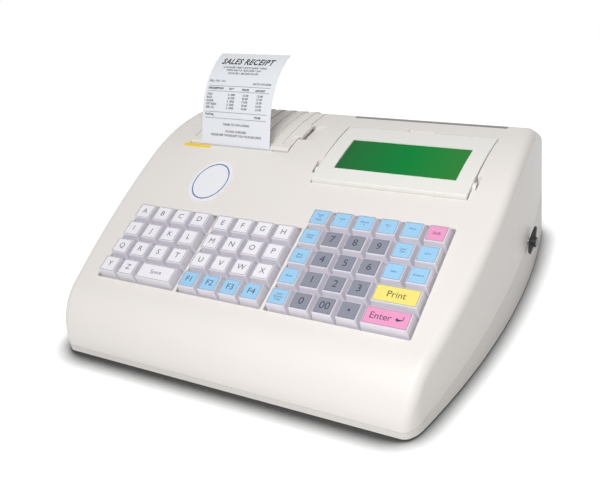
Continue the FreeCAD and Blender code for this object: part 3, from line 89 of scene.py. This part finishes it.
bpy.ops.mesh.primitive_plane_add(size=floor_size, location=(0, 0, 0))
floor = bpy.context.object
floor.name = "floor"
floor_paint = bpy.data.materials.new("white_sweep")
floor_paint.use_nodes = True
tree = floor_paint.node_tree
tree.nodes.clear()
# Painted shadow: the register's nearness, reckoned leaning to the rear, darkens the floor's colour
# and glow.
painted_shadow_closeness = tree.nodes.new("ShaderNodeAmbientOcclusion")
painted_shadow_closeness.samples = shadow_samples
painted_shadow_closeness.inputs["Distance"].default_value = shadow_reach
leaning = tree.nodes.new("ShaderNodeCombineXYZ")
for axis, value in zip("XYZ", shadow_lean):
    leaning.inputs[axis].default_value = value
tree.links.new(leaning.outputs["Vector"], painted_shadow_closeness.inputs["Normal"])
depth = tree.nodes.new("ShaderNodeMapRange")
depth.inputs["From Min"].default_value = shadow_full_at
depth.inputs["From Max"].default_value = shadow_gone_at
depth.inputs["To Min"].default_value = shadow_darkest
matt = tree.nodes.new("ShaderNodeBsdfDiffuse")
backing = tree.nodes.new("ShaderNodeEmission")
backing.inputs["Strength"].default_value = floor_glow
both = tree.nodes.new("ShaderNodeAddShader")
place = tree.nodes.new("ShaderNodeTexCoord")
distance = tree.nodes.new("ShaderNodeVectorMath")
distance.operation = "LENGTH"
fade = tree.nodes.new("ShaderNodeMapRange")
fade.interpolation_type = "SMOOTHSTEP"
fade.inputs["From Min"].default_value = fade_start
fade.inputs["From Max"].default_value = fade_end
plain = tree.nodes.new("ShaderNodeEmission")
plain.inputs["Strength"].default_value = white_level
far_floor = tree.nodes.new("ShaderNodeMixShader")
for_others = tree.nodes.new("ShaderNodeBsdfDiffuse")
for_others.inputs["Color"].default_value = floor_for_light
choice = tree.nodes.new("ShaderNodeMixShader")
result = tree.nodes.new("ShaderNodeOutputMaterial")
tree.links.new(painted_shadow_closeness.outputs["AO"], depth.inputs["Value"])
tree.links.new(depth.outputs["Result"], matt.inputs["Color"])
tree.links.new(depth.outputs["Result"], backing.inputs["Color"])
tree.links.new(matt.outputs["BSDF"], both.inputs[0])
tree.links.new(backing.outputs["Emission"], both.inputs[1])
tree.links.new(place.outputs["Object"], distance.inputs[0])
tree.links.new(distance.outputs["Value"], fade.inputs["Value"])
tree.links.new(fade.outputs["Result"], far_floor.inputs["Fac"])
tree.links.new(both.outputs["Shader"], far_floor.inputs[1])
tree.links.new(plain.outputs["Emission"], far_floor.inputs[2])
tree.links.new(seen_rays(tree), choice.inputs["Fac"])
tree.links.new(for_others.outputs["BSDF"], choice.inputs[1])
tree.links.new(far_floor.outputs["Shader"], choice.inputs[2])
tree.links.new(choice.outputs["Shader"], result.inputs["Surface"])
floor.data.materials.append(floor_paint)

# Soft studio light: a pale room all round and one wide soft box before the
# register, above it, turned to the right so that its light fades to the left.
room_level = 0.27
lamp_place = Vector((0.41, -1.13, 1.34))
lamp_aim = Vector((0.95, -0.68, 0.83))
lamp_size = 1.2
lamp_power = 32.0

world = bpy.data.worlds.new("pale_room")
bpy.context.scene.world = world
world.use_nodes = True
tree = world.node_tree
tree.nodes.clear()
room = tree.nodes.new("ShaderNodeBackground")
room.inputs["Color"].default_value = (1, 1, 1, 1)
room.inputs["Strength"].default_value = room_level
white = tree.nodes.new("ShaderNodeBackground")
white.inputs["Color"].default_value = (1, 1, 1, 1)
white.inputs["Strength"].default_value = white_level
blend = tree.nodes.new("ShaderNodeMixShader")
result = tree.nodes.new("ShaderNodeOutputWorld")
tree.links.new(seen_rays(tree), blend.inputs["Fac"])
tree.links.new(room.outputs["Background"], blend.inputs[1])
tree.links.new(white.outputs["Background"], blend.inputs[2])
tree.links.new(blend.outputs["Shader"], result.inputs["Surface"])

bpy.ops.object.light_add(type="AREA", location=lamp_place)
lamp = bpy.context.object
lamp.name = "front_lamp"
lamp.data.shape = "SQUARE"
lamp.data.size = lamp_size
lamp.data.energy = lamp_power
lamp.rotation_euler = (lamp_aim - lamp_place).to_track_quat("-Z", "Y").to_euler()


# The casing is two mouldings of cream ABS with a fine satin grain: a deep cover over a
# shallow tray, with a thin gap between them. The tray's cream is greyer as painted shade.
drift_scale = 9.0
drift_detail = 3.0
drift_range = (0.3, 0.7)
grain_detail = 2.0
grain_strength = 0.35
gloss_spread = 0.05


def paint(red, green, blue):
    """A colour given as screen values from 0 to 255."""
    parts = []
    for value in (red, green, blue):
        share = value / 255
        if share <= 0.04045:
            parts.append(share / 12.92)
        else:
            parts.append(((share + 0.055) / 1.055) ** 2.4)
    return (*parts, 1.0)


def moulded_plastic(name, colour, roughness, grain=900.0, relief=0.00002, shift=0.03):
    """Moulded plastic: a base colour that drifts a little, and a fine grain."""
    material = bpy.data.materials.new(name)
    material.use_nodes = True
    tree = material.node_tree
    shader = tree.nodes["Principled BSDF"]
    place = tree.nodes.new("ShaderNodeTexCoord")
    drift = tree.nodes.new("ShaderNodeTexNoise")
    drift.inputs["Scale"].default_value = drift_scale
    drift.inputs["Detail"].default_value = drift_detail
    tint = tree.nodes.new("ShaderNodeValToRGB")
    darker, lighter = tint.color_ramp.elements
    darker.position, lighter.position = drift_range
    darker.color = (*(part * (1 - shift) for part in colour[:3]), 1)
    lighter.color = colour
    fine = tree.nodes.new("ShaderNodeTexNoise")
    fine.inputs["Scale"].default_value = grain
    fine.inputs["Detail"].default_value = grain_detail
    bump = tree.nodes.new("ShaderNodeBump")
    bump.inputs["Strength"].default_value = grain_strength
    bump.inputs["Distance"].default_value = relief
    gloss = tree.nodes.new("ShaderNodeMapRange")
    gloss.inputs["To Min"].default_value = roughness - gloss_spread
    gloss.inputs["To Max"].default_value = roughness + gloss_spread
    tree.links.new(place.outputs["Object"], drift.inputs["Vector"])
    tree.links.new(place.outputs["Object"], fine.inputs["Vector"])
    tree.links.new(drift.outputs["Fac"], tint.inputs["Fac"])
    tree.links.new(tint.outputs["Color"], shader.inputs["Base Color"])
    tree.links.new(fine.outputs["Fac"], bump.inputs["Height"])
    tree.links.new(bump.outputs["Normal"], shader.inputs["Normal"])
    tree.links.new(drift.outputs["Fac"], gloss.inputs["Value"])
    tree.links.new(gloss.outputs["Result"], shader.inputs["Roughness"])
    return material


def finish_node(name, material):
    """Give a CAD node its material in every slot."""
    node = nodes[name]
    node.data.materials.clear()
    node.data.materials.append(material)


cream = moulded_plastic("cream_moulding", paint(240, 235, 230), roughness=0.40, shift=0.02)
# Painted shade: the tray's cream is darker and greyer to stand for the shade on its down-facing
# band.
cream_painted_shade = moulded_plastic("tray_cream_painted_shade", paint(229, 225, 220), roughness=0.45, shift=0.02)
finish_node("top_cover", cream)
finish_node("base_tray", cream_painted_shade)


# Five rubber feet are pressed into the tray, and cross-head screws pass up
# through it into the cover. The same steel makes the small screws inside.
line_scale = 1400.0
line_stretch = (0.06, 1.0, 1.0)
smoother_by = 0.08
rougher_by = 0.12


def turned_metal(name, colour, roughness=0.3):
    """Bright metal with fine lines left by rolling or turning."""
    material = bpy.data.materials.new(name)
    material.use_nodes = True
    tree = material.node_tree
    shader = tree.nodes["Principled BSDF"]
    shader.inputs["Base Color"].default_value = colour
    shader.inputs["Metallic"].default_value = 1.0
    place = tree.nodes.new("ShaderNodeTexCoord")
    stretch = tree.nodes.new("ShaderNodeMapping")
    stretch.inputs["Scale"].default_value = line_stretch
    streaks = tree.nodes.new("ShaderNodeTexNoise")
    streaks.inputs["Scale"].default_value = line_scale
    gloss = tree.nodes.new("ShaderNodeMapRange")
    gloss.inputs["To Min"].default_value = roughness - smoother_by
    gloss.inputs["To Max"].default_value = roughness + rougher_by
    tree.links.new(place.outputs["Object"], stretch.inputs["Vector"])
    tree.links.new(stretch.outputs["Vector"], streaks.inputs["Vector"])
    tree.links.new(streaks.outputs["Fac"], gloss.inputs["Value"])
    tree.links.new(gloss.outputs["Result"], shader.inputs["Roughness"])
    return material


black_rubber = moulded_plastic("black_rubber", paint(34, 34, 36), roughness=0.75, grain=2500.0,
                               relief=0.00004, shift=0.15)
screw_steel = turned_metal("screw_steel", (0.55, 0.55, 0.56, 1))
finish_node("rubber_feet", black_rubber)
finish_node("case_screws", screw_steel)
finish_node("small_screws", screw_steel)


# The key caps are white, faintly lilac, and glossy, and stand on push switches
# in a sloping plate.
cap_plastic = moulded_plastic("key_cap_plastic", paint(236, 233, 241), roughness=0.30, grain=1800.0,
                              relief=0.000008, shift=0.015)
cap_nodes = [name for name in nodes if name.startswith("key_") or name.startswith("keys_")]
inner_keyboard = ["key_plate", "key_switches"]
for name in cap_nodes:
    if name not in inner_keyboard:
        finish_node(name, cap_plastic)


# Each cap has a printed card in its recess: white for letters, blue for
# functions, grey for digits, pink and yellow for the keys used most. Places on
# the deck are given across and up its slope.
deck_slope = math.radians(22.4)
deck_origin = Vector((0, -0.10856, 0.0576226))
key_pitch = 0.01905
block_gap = 0.0044
field_shift = 0.002
key_columns = 14
block_starts = (4, 8)
label_level = 0.00562
label_width = 0.0136
label_length = 0.0131
label_line = 0.00022
legend_lift = 0.00003
legend_curve_steps = 3
legend_line_pitch = 0.92


def on_deck(across, up, out):
    """A point of the sloping deck: across, up the slope, and out from it."""
    return deck_origin + Vector((
        across,
        up * math.cos(deck_slope) - out * math.sin(deck_slope),
        up * math.sin(deck_slope) + out * math.cos(deck_slope),
    ))


def column_place(column):
    """How far across the middle of a key column lies."""
    span = (key_columns - 1) * key_pitch + len(block_starts) * block_gap
    gaps = sum(column >= start for start in block_starts)
    return field_shift - span / 2 + column * key_pitch + gaps * block_gap


def key_place(column, row, units):
    """The middle of a key, across and up the slope."""
    return column_place(column) + (units - 1) * key_pitch / 2, row * key_pitch


def settle(piece, move):
    """Put a piece's mesh where a function says and leave its object at the origin."""
    for vertex in piece.data.vertices:
        vertex.co = move(vertex.co)
    piece.data.update()


def join_pieces(pieces, name):
    """Join separate meshes into one named piece."""
    bpy.ops.object.select_all(action="DESELECT")
    for piece in pieces:
        piece.select_set(True)
    bpy.context.view_layer.objects.active = pieces[0]
    if len(pieces) > 1:
        bpy.ops.object.join()
    joined = bpy.context.object
    joined.name = name
    joined.data.name = name
    bpy.ops.object.select_all(action="DESELECT")
    return joined


def flat_plate(width, length):
    """A flat rectangle about the origin."""
    bpy.ops.mesh.primitive_plane_add(size=1, location=(0, 0, 0))
    plate = bpy.context.object
    plate.scale = (width, length, 1)
    bpy.ops.object.transform_apply(location=False, rotation=False, scale=True)
    return plate


def flat_words(text, size, ink, **settings):
    """Flat words of one ink as a mesh about the origin."""
    bpy.ops.object.text_add(location=(0, 0, 0))
    words = bpy.context.object
    words.data.body = text
    words.data.size = size
    for setting, value in settings.items():
        setattr(words.data, setting, value)
    bpy.ops.object.convert(target="MESH")
    words = bpy.context.object
    words.data.materials.clear()
    words.data.materials.append(ink)
    return words


def printed_card(name, colour):
    """Smooth printed paper or film."""
    return moulded_plastic(name, colour, roughness=0.5, grain=1500.0, relief=0.000004, shift=0.02)


card_white = printed_card("white_card", paint(247, 245, 251))
card_blue = printed_card("blue_card", paint(160, 211, 245))
card_grey = printed_card("grey_card", paint(140, 143, 158))
card_pink = printed_card("pink_card", paint(243, 160, 203))
card_yellow = printed_card("yellow_card", paint(252, 234, 124))
card_line = printed_card("card_edge_line", paint(92, 92, 108))
legend_ink = printed_card("legend_ink", paint(52, 54, 66))
letter_ink = printed_card("letter_ink", paint(86, 88, 100))

small_text = 0.0025
word_text = 0.0036
wide_word_text = 0.0048
letter_text = 0.0070
digit_text = 0.0086
wide_key_text = 0.007396

# Cap node, card, and its keys: legend lines, column, row, width in keys, size
key_sets = [
    ("keys_a_to_h", card_white, [("ABCDEFGH"[c], c, 3, 1, letter_text) for c in range(8)]),
    ("keys_i_to_p", card_white, [("IJKLMNOP"[c], c, 2, 1, letter_text) for c in range(8)]),
    ("keys_q_to_z", card_white, [("QRSTUVWX"[c], c, 1, 1, letter_text) for c in range(8)]
     + [("YZ"[c], c, 0, 1, letter_text) for c in range(2)]),
    ("key_space", card_white, [("Space", 2, 0, 2, wide_word_text)]),
    ("keys_function", card_blue, [("F%d" % (c - 3), c, 0, 1, letter_text) for c in range(4, 8)] + [
        ("Feed\n%\nPaper", 8, 4, 1, small_text), ("Void\n/", 9, 4, 1, small_text),
        ("Report\nx", 10, 4, 1, small_text), ("PLU\n+", 11, 4, 1, small_text),
        ("Menu\n-", 12, 4, 1, small_text)]),
    ("keys_command", card_blue, [
        ("Cancel\n/Clear", 8, 3, 1, small_text), ("Back\nSpace", 8, 2, 1, small_text),
        ("Batch", 8, 1, 1, small_text), ("Cash\nDrawer\nTotal", 8, 0, 1, small_text),
        ("User/\nCalc", 12, 3, 1, small_text), ("UP↑", 13, 3, 1, small_text),
        ("Save", 12, 2, 1, small_text), ("Down↓", 13, 2, 1, small_text)]),
    ("key_shift", card_pink, [("Shift", 13, 4, 1, word_text)]),
    ("key_print", card_yellow, [("Print", 12, 1, 2, wide_key_text)]),
    ("key_enter", card_pink, [("Enter ↵", 12, 0, 2, wide_key_text)]),
    ("key_0", card_grey, [("0", 9, 0, 1, digit_text)]),
    ("key_00", card_grey, [("00", 10, 0, 1, digit_text)]),
    ("key_point", card_grey, [("•", 11, 0, 1, digit_text)]),
] + [("key_%d" % d, card_grey, [(str(d), 9 + (d - 1) % 3, 1 + (d - 1) // 3, 1, digit_text)])
     for d in range(1, 10)]


def make_card(name, column, row, units, card):
    """A card with a thin printed line round it, lying in the cap's recess."""
    across, up = key_place(column, row, units)
    width = label_width + (units - 1) * key_pitch
    piece = flat_plate(width, label_length)
    piece.name = name
    bpy.ops.object.mode_set(mode="EDIT")
    bpy.ops.mesh.select_all(action="SELECT")
    bpy.ops.mesh.inset(thickness=label_line, depth=0)
    bpy.ops.object.mode_set(mode="OBJECT")
    piece.data.materials.append(card_line)
    piece.data.materials.append(card)
    for face in piece.data.polygons:
        middle = face.center
        inside = abs(middle.x) < label_line and abs(middle.y) < label_line
        face.material_index = 1 if inside else 0
    settle(piece, lambda p: on_deck(across + p.x, up + p.y, label_level))
    return piece


def make_legend(name, text, column, row, units, size, ink):
    """Printed words on a card, centred."""
    across, up = key_place(column, row, units)
    words = flat_words(text, size, ink, align_x="CENTER", align_y="CENTER",
                       resolution_u=legend_curve_steps, space_line=legend_line_pitch)
    words.name = name
    settle(words, lambda p: on_deck(across + p.x, up + p.y, label_level + legend_lift))
    return words


for cap, card, keys in key_sets:
    cards = []
    legends = []
    for text, column, row, units, size in keys:
        cards.append(make_card(cap + "_card", column, row, units, card))
        ink = letter_ink if card == card_white else legend_ink
        legends.append(make_legend(cap + "_legend", text, column, row, units, size, ink))
    card_piece = join_pieces(cards, cap + "_cards")
    legend_piece = join_pieces(legends, cap + "_legends")
    for piece in (card_piece, legend_piece):
        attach(piece, cap + "_cap")


# Under the caps: a zinc plate, black push switches and a green circuit board,
# held to the cover by five screws.
zinc = turned_metal("zinc_sheet", (0.62, 0.63, 0.62, 1), roughness=0.38)
switch_black = moulded_plastic("switch_black", paint(30, 30, 32), roughness=0.5)
board_green = moulded_plastic("board_green", paint(34, 96, 62), roughness=0.35, grain=700.0,
                              shift=0.2)
finish_node("key_plate", zinc)
finish_node("key_switches", switch_black)
finish_node("keyboard_board", board_green)
finish_node("main_board", board_green)


# The operator display tilts up on two pins. Its arched frame is a brighter
# cream than the casing, and a green filter, lit from behind, lies in its window.
filter_left = 0.022
filter_right = 0.126
filter_brightest = 0.55
filter_glow = 0.82
filter_roughness = 0.5
filter_shine = 0.05
filter_body = (0.0, 0.012, 0.004, 1)
frame_cream = moulded_plastic("display_frame_moulding", paint(243, 241, 236), roughness=0.38,
                              shift=0.02)
finish_node("display_frame", frame_cream)
finish_node("display_back", frame_cream)


def lit_filter(name, left_colour, middle_colour, right_colour):
    """A coloured filter lit from behind, brightest at its middle."""
    material = bpy.data.materials.new(name)
    material.use_nodes = True
    tree = material.node_tree
    shader = tree.nodes["Principled BSDF"]
    place = tree.nodes.new("ShaderNodeTexCoord")
    split = tree.nodes.new("ShaderNodeSeparateXYZ")
    along = tree.nodes.new("ShaderNodeMapRange")
    along.inputs["From Min"].default_value = filter_left
    along.inputs["From Max"].default_value = filter_right
    tint = tree.nodes.new("ShaderNodeValToRGB")
    tint.color_ramp.elements[0].color = left_colour
    tint.color_ramp.elements[1].color = right_colour
    middle = tint.color_ramp.elements.new(filter_brightest)
    middle.color = middle_colour
    tree.links.new(place.outputs["Object"], split.inputs["Vector"])
    tree.links.new(split.outputs["X"], along.inputs["Value"])
    tree.links.new(along.outputs["Result"], tint.inputs["Fac"])
    tree.links.new(tint.outputs["Color"], shader.inputs["Emission Color"])
    shader.inputs["Base Color"].default_value = filter_body
    shader.inputs["Emission Strength"].default_value = filter_glow
    shader.inputs["Roughness"].default_value = filter_roughness
    shader.inputs["Specular IOR Level"].default_value = filter_shine
    return material


finish_node("display_window", lit_filter("green_filter", paint(36, 112, 56), paint(0, 138, 58),
                                         paint(52, 140, 58)))
finish_node("lcd_panel", switch_black)
finish_node("display_pivot_pins", screw_steel)


# A smoked strip over the ridge covers the customer display, which faces away
# from the operator.
finish_node("customer_window", moulded_plastic("smoked_strip", paint(100, 97, 96), roughness=0.25,
                                               shift=0.04))
finish_node("customer_display", switch_black)


# The printer lid is ribbed along the paper's way and turns on two steel pins.
# A steel bar with fine teeth cuts the paper.
finish_node("printer_lid", cream)
finish_node("lid_hinge_pins", screw_steel)
finish_node("tear_bar", turned_metal("tear_bar_steel", (0.66, 0.66, 0.67, 1), roughness=0.25))


# Receipt, paper roll and web: thin uncoated paper, bluish white, printed in
# black on the side that faces the operator.
paper_white = moulded_plastic("receipt_white", paint(236, 239, 244), roughness=0.8, grain=3000.0,
                              shift=0.015)
for name in ("receipt_paper", "paper_roll", "paper_web"):
    finish_node(name, paper_white)
receipt_ink = printed_card("receipt_ink", paint(40, 40, 44))
receipt_middle = -0.0847
receipt_front = 0.02625
receipt_foot = 0.107
receipt_upright = 0.002
bend_radius = 0.012
bend_turn = math.radians(19.5)
receipt_straight = 0.025
curl_radius = 0.067
curl_turn = math.radians(55)
ink_lift = 0.00006
print_tall = 0.0020
print_curve_steps = 2
title_cuts = 4

# The paper's way up from its foot: the length of each stretch and its bend
receipt_path = [
    (receipt_upright, 0),
    (bend_radius * bend_turn, 1 / bend_radius),
    (receipt_straight, 0),
    (curl_radius * curl_turn, 1 / curl_radius),
]


def on_receipt(across, along):
    """A point just before the receipt's printed face, up along the paper from its foot."""
    depth = receipt_front
    height = receipt_foot
    lean = 0.0
    for length, bend in receipt_path:
        step = min(along, length)
        along -= step
        turned = lean + step * bend
        if bend:
            depth += (math.cos(lean) - math.cos(turned)) / bend
            height += (math.sin(turned) - math.sin(lean)) / bend
        else:
            depth += step * math.sin(lean)
            height += step * math.cos(lean)
        lean = turned
    return Vector((
        receipt_middle + across,
        depth - ink_lift * math.cos(lean),
        height + ink_lift * math.sin(lean),
    ))


def receipt_words(text, left, right, along, tall, slant=0.0, bold=0.0, spacing=1.0):
    """Printed words between two places across the paper, centred at a place up it."""
    words = flat_words(text, tall, receipt_ink, shear=slant, offset=bold,
                       space_character=spacing, resolution_u=print_curve_steps)
    if tall > print_tall:
        # Long strokes need points along them to follow the paper's curl.
        bpy.ops.object.mode_set(mode="EDIT")
        bpy.ops.mesh.select_all(action="SELECT")
        bpy.ops.mesh.subdivide(number_cuts=title_cuts)
        bpy.ops.object.mode_set(mode="OBJECT")
    all_x = [vertex.co.x for vertex in words.data.vertices]
    all_y = [vertex.co.y for vertex in words.data.vertices]
    spread = (right - left) / (max(all_x) - min(all_x))
    rise = tall / (max(all_y) - min(all_y))
    first_x = min(all_x)
    middle_y = (max(all_y) + min(all_y)) / 2
    settle(words, lambda p: on_receipt(left + (p.x - first_x) * spread,
                                       along + (p.y - middle_y) * rise))
    return words


def receipt_rule(left, right, along, thickness):
    """A printed line across the paper."""
    rule = flat_plate(right - left, thickness)
    rule.data.materials.append(receipt_ink)
    settle(rule, lambda p: on_receipt((left + right) / 2 + p.x, along + p.y))
    return rule


plain_bold = 0.00004
heading_bold = 0.00009
rule_line = 0.0003
rule_left = -0.0333
rule_right = 0.0316
rule_places = (0.0579, 0.0530, 0.0344, 0.0290)

# Words, their left and right ends, how far up the paper, height, slant, boldness, spacing
print_lines = [
    ("SALES RECEIPT", -0.0293, 0.0260, 0.0843, 0.0074, 0.2, 0.00024, 1.12),
    ("12 COUNTER STREET NORTH MARKET TOWN", -0.0251, 0.0208, 0.0771, print_tall, 0,
     plain_bold),
    ("OPEN 9.00 TO 18.00 EVERY DAY", -0.0203, 0.0169, 0.0740, print_tall, 0, plain_bold),
    ("COUNTER 1 SECOND FLOOR", -0.0176, 0.0147, 0.0707, print_tall, 0, plain_bold),
    ("BILL NO. 101", -0.0337, -0.0174, 0.0626, print_tall, 0, plain_bold),
    ("DATE 01/01/2020", 0.0128, 0.0313, 0.0611, print_tall, 0, plain_bold),
    ("DESCRIPTION", -0.0332, -0.0170, 0.0556, print_tall, 0, heading_bold),
    ("QTY", -0.0109, -0.0055, 0.0554, print_tall, 0, heading_bold),
    ("PRICE", 0.0032, 0.0101, 0.0552, print_tall, 0, heading_bold),
    ("AMOUNT", 0.0168, 0.0271, 0.0549, print_tall, 0, heading_bold),
    ("TOTAL", -0.0334, -0.0235, 0.0320, print_tall, 0, heading_bold),
    ("79.00", 0.0193, 0.0258, 0.0314, print_tall, 0, heading_bold),
    ("THANK YOU FOR COMING", -0.0136, 0.0144, 0.0239, print_tall, 0, plain_bold),
    ("GOODS CHECKED", -0.0107, 0.0115, 0.0179, print_tall, 0, plain_bold),
    ("PLEASE KEEP THIS RECEIPT FOR YOUR RECORDS", -0.0262, 0.0271, 0.0144, print_tall, 0,
     plain_bold),
]
prints = [receipt_words(*line) for line in print_lines]
for along in rule_places:
    prints.append(receipt_rule(rule_left, rule_right, along, rule_line))

# Item, the right end of its name, quantity, price and amount
bill_lines = [
    ("MILK", -0.0272, "1.00", "12.00", "12.00"),
    ("RICE", -0.0276, "2.00", "8.50", "17.00"),
    ("SUGAR", -0.0255, "1.00", "15.00", "15.00"),
    ("SOFT BREAD", -0.0218, "1.00", "10.00", "10.00"),
    ("SEED OIL", -0.0240, "1.00", "25.00", "25.00"),
]
first_item_along = 0.0501
item_pitch = 0.00295
item_left = -0.0330
quantity_ends = (-0.0104, -0.0032)
price_ends = (0.0050, 0.0108)
amount_ends = (0.0198, 0.0257)
for number, (item, name_end, quantity, price, amount) in enumerate(bill_lines):
    along = first_item_along - number * item_pitch
    row = [(item, item_left, name_end), (quantity, *quantity_ends), (price, *price_ends),
           (amount, *amount_ends)]
    for text, left, right in row:
        prints.append(receipt_words(text, left, right, along, print_tall, 0, plain_bold))
receipt_print = join_pieces(prints, "receipt_print")
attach(receipt_print, "lid")


# Inside the printer: zinc cheeks, a dark print head, a rubber platen on a steel
# shaft, white acetal gears and a steel motor.
acetal = moulded_plastic("white_acetal", paint(226, 224, 214), roughness=0.35)
for name in ("platen_gear", "idler_gear", "feed_gear", "shaft_bushes"):
    finish_node(name, acetal)
finish_node("printer_frame", zinc)
finish_node("print_head", moulded_plastic("head_ceramic", paint(92, 76, 64), roughness=0.2))
finish_node("platen_roller", black_rubber)
for name in ("platen_shaft", "feed_shaft", "motor_pinion", "feed_motor"):
    finish_node(name, screw_steel)
finish_node("roll_spindle", switch_black)


# The feed knob on the right side is a black moulding, a bar of two wings on a
# round hub, pressed on the end of its steel shaft.
knob_black = moulded_plastic("knob_black", paint(26, 26, 28), roughness=0.35)
finish_node("feed_knob", knob_black)


# In the tray's rear wall: moulded sockets and a rocker switch. The battery pack
# lies in its cradle in blue film.
finish_node("rear_sockets", switch_black)
finish_node("switch_bezel", knob_black)
finish_node("power_switch", knob_black)
finish_node("battery_pack", moulded_plastic("battery_film", paint(52, 86, 140), roughness=0.25))


# An oval badge lies on the deck: a plain white disc with one blue ring.
badge_place = (-0.0856, 0.1023)
badge_across = 0.019
badge_along = 0.0235
badge_thickness = 0.0006
badge_sides = 96
badge_ring_share = 0.86
badge_ring_width_share = 0.05
badge_white = printed_card("badge_white", paint(245, 246, 250))
badge_blue = printed_card("badge_blue", paint(62, 92, 160))


def thicken(piece, thickness):
    """Give a flat piece its thickness, down from its face."""
    bpy.ops.object.modifier_add(type="SOLIDIFY")
    piece.modifiers[-1].thickness = thickness
    piece.modifiers[-1].offset = -1
    bpy.ops.object.modifier_apply(modifier=piece.modifiers[-1].name)


bpy.ops.mesh.primitive_circle_add(vertices=badge_sides, radius=1, fill_type="NGON",
                                  location=(0, 0, 0))
badge = bpy.context.object
badge.name = "badge"
bpy.ops.object.mode_set(mode="EDIT")
bpy.ops.mesh.select_all(action="SELECT")
bpy.ops.mesh.inset(thickness=1 - badge_ring_share, depth=0)
bpy.ops.mesh.inset(thickness=badge_ring_width_share, depth=0)
bpy.ops.object.mode_set(mode="OBJECT")
badge.data.materials.append(badge_white)
badge.data.materials.append(badge_blue)
for face in badge.data.polygons:
    reach = face.center.length
    in_ring = badge_ring_share - badge_ring_width_share < reach < badge_ring_share
    face.material_index = 1 if in_ring else 0
settle(badge, lambda p: on_deck(badge_place[0] + p.x * badge_across,
                               badge_place[1] + p.y * badge_along, badge_thickness))
thicken(badge, badge_thickness)
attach(badge, "casing")


# Paper stickers on the cover: one yellow strip before the slot, and three small
# white ones beside the lid. They are bare.
sticker_thickness = 0.00012
sticker_steps = 6
crown_centre = Vector((0, 0.0804, -0.070))
crown_radius = 0.190
sticker_white = printed_card("sticker_white", paint(244, 241, 240))
sticker_yellow = printed_card("sticker_yellow", paint(255, 218, 8))

# Sticker, its card, its left and right ends, its front and rear ends
sticker_places = [
    ("yellow_strip", sticker_yellow, (-0.1386, -0.1092), (0.0219, 0.0257)),
    ("small_sticker_front", sticker_white, (-0.1542, -0.1467), (0.0452, 0.0523)),
    ("small_sticker_middle", sticker_white, (-0.1545, -0.1472), (0.0540, 0.0607)),
    ("small_sticker_rear", sticker_white, (-0.1543, -0.1482), (0.0623, 0.0685)),
]


def crown_height(y):
    """How high the cover's crown stands at a depth."""
    return crown_centre.z + math.sqrt(crown_radius ** 2 - (y - crown_centre.y) ** 2)


for name, card, (left, right), (front, rear) in sticker_places:
    bpy.ops.mesh.primitive_grid_add(x_subdivisions=1, y_subdivisions=sticker_steps, size=1,
                                    location=(0, 0, 0))
    sticker = bpy.context.object
    sticker.name = name
    middle_x = (left + right) / 2
    middle_y = (front + rear) / 2
    settle(sticker, lambda p: Vector((
        middle_x + p.x * (right - left), middle_y + p.y * (rear - front),
        crown_height(middle_y + p.y * (rear - front)) + sticker_thickness)))
    sticker.data.materials.append(card)
    thicken(sticker, sticker_thickness)
    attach(sticker, "casing")
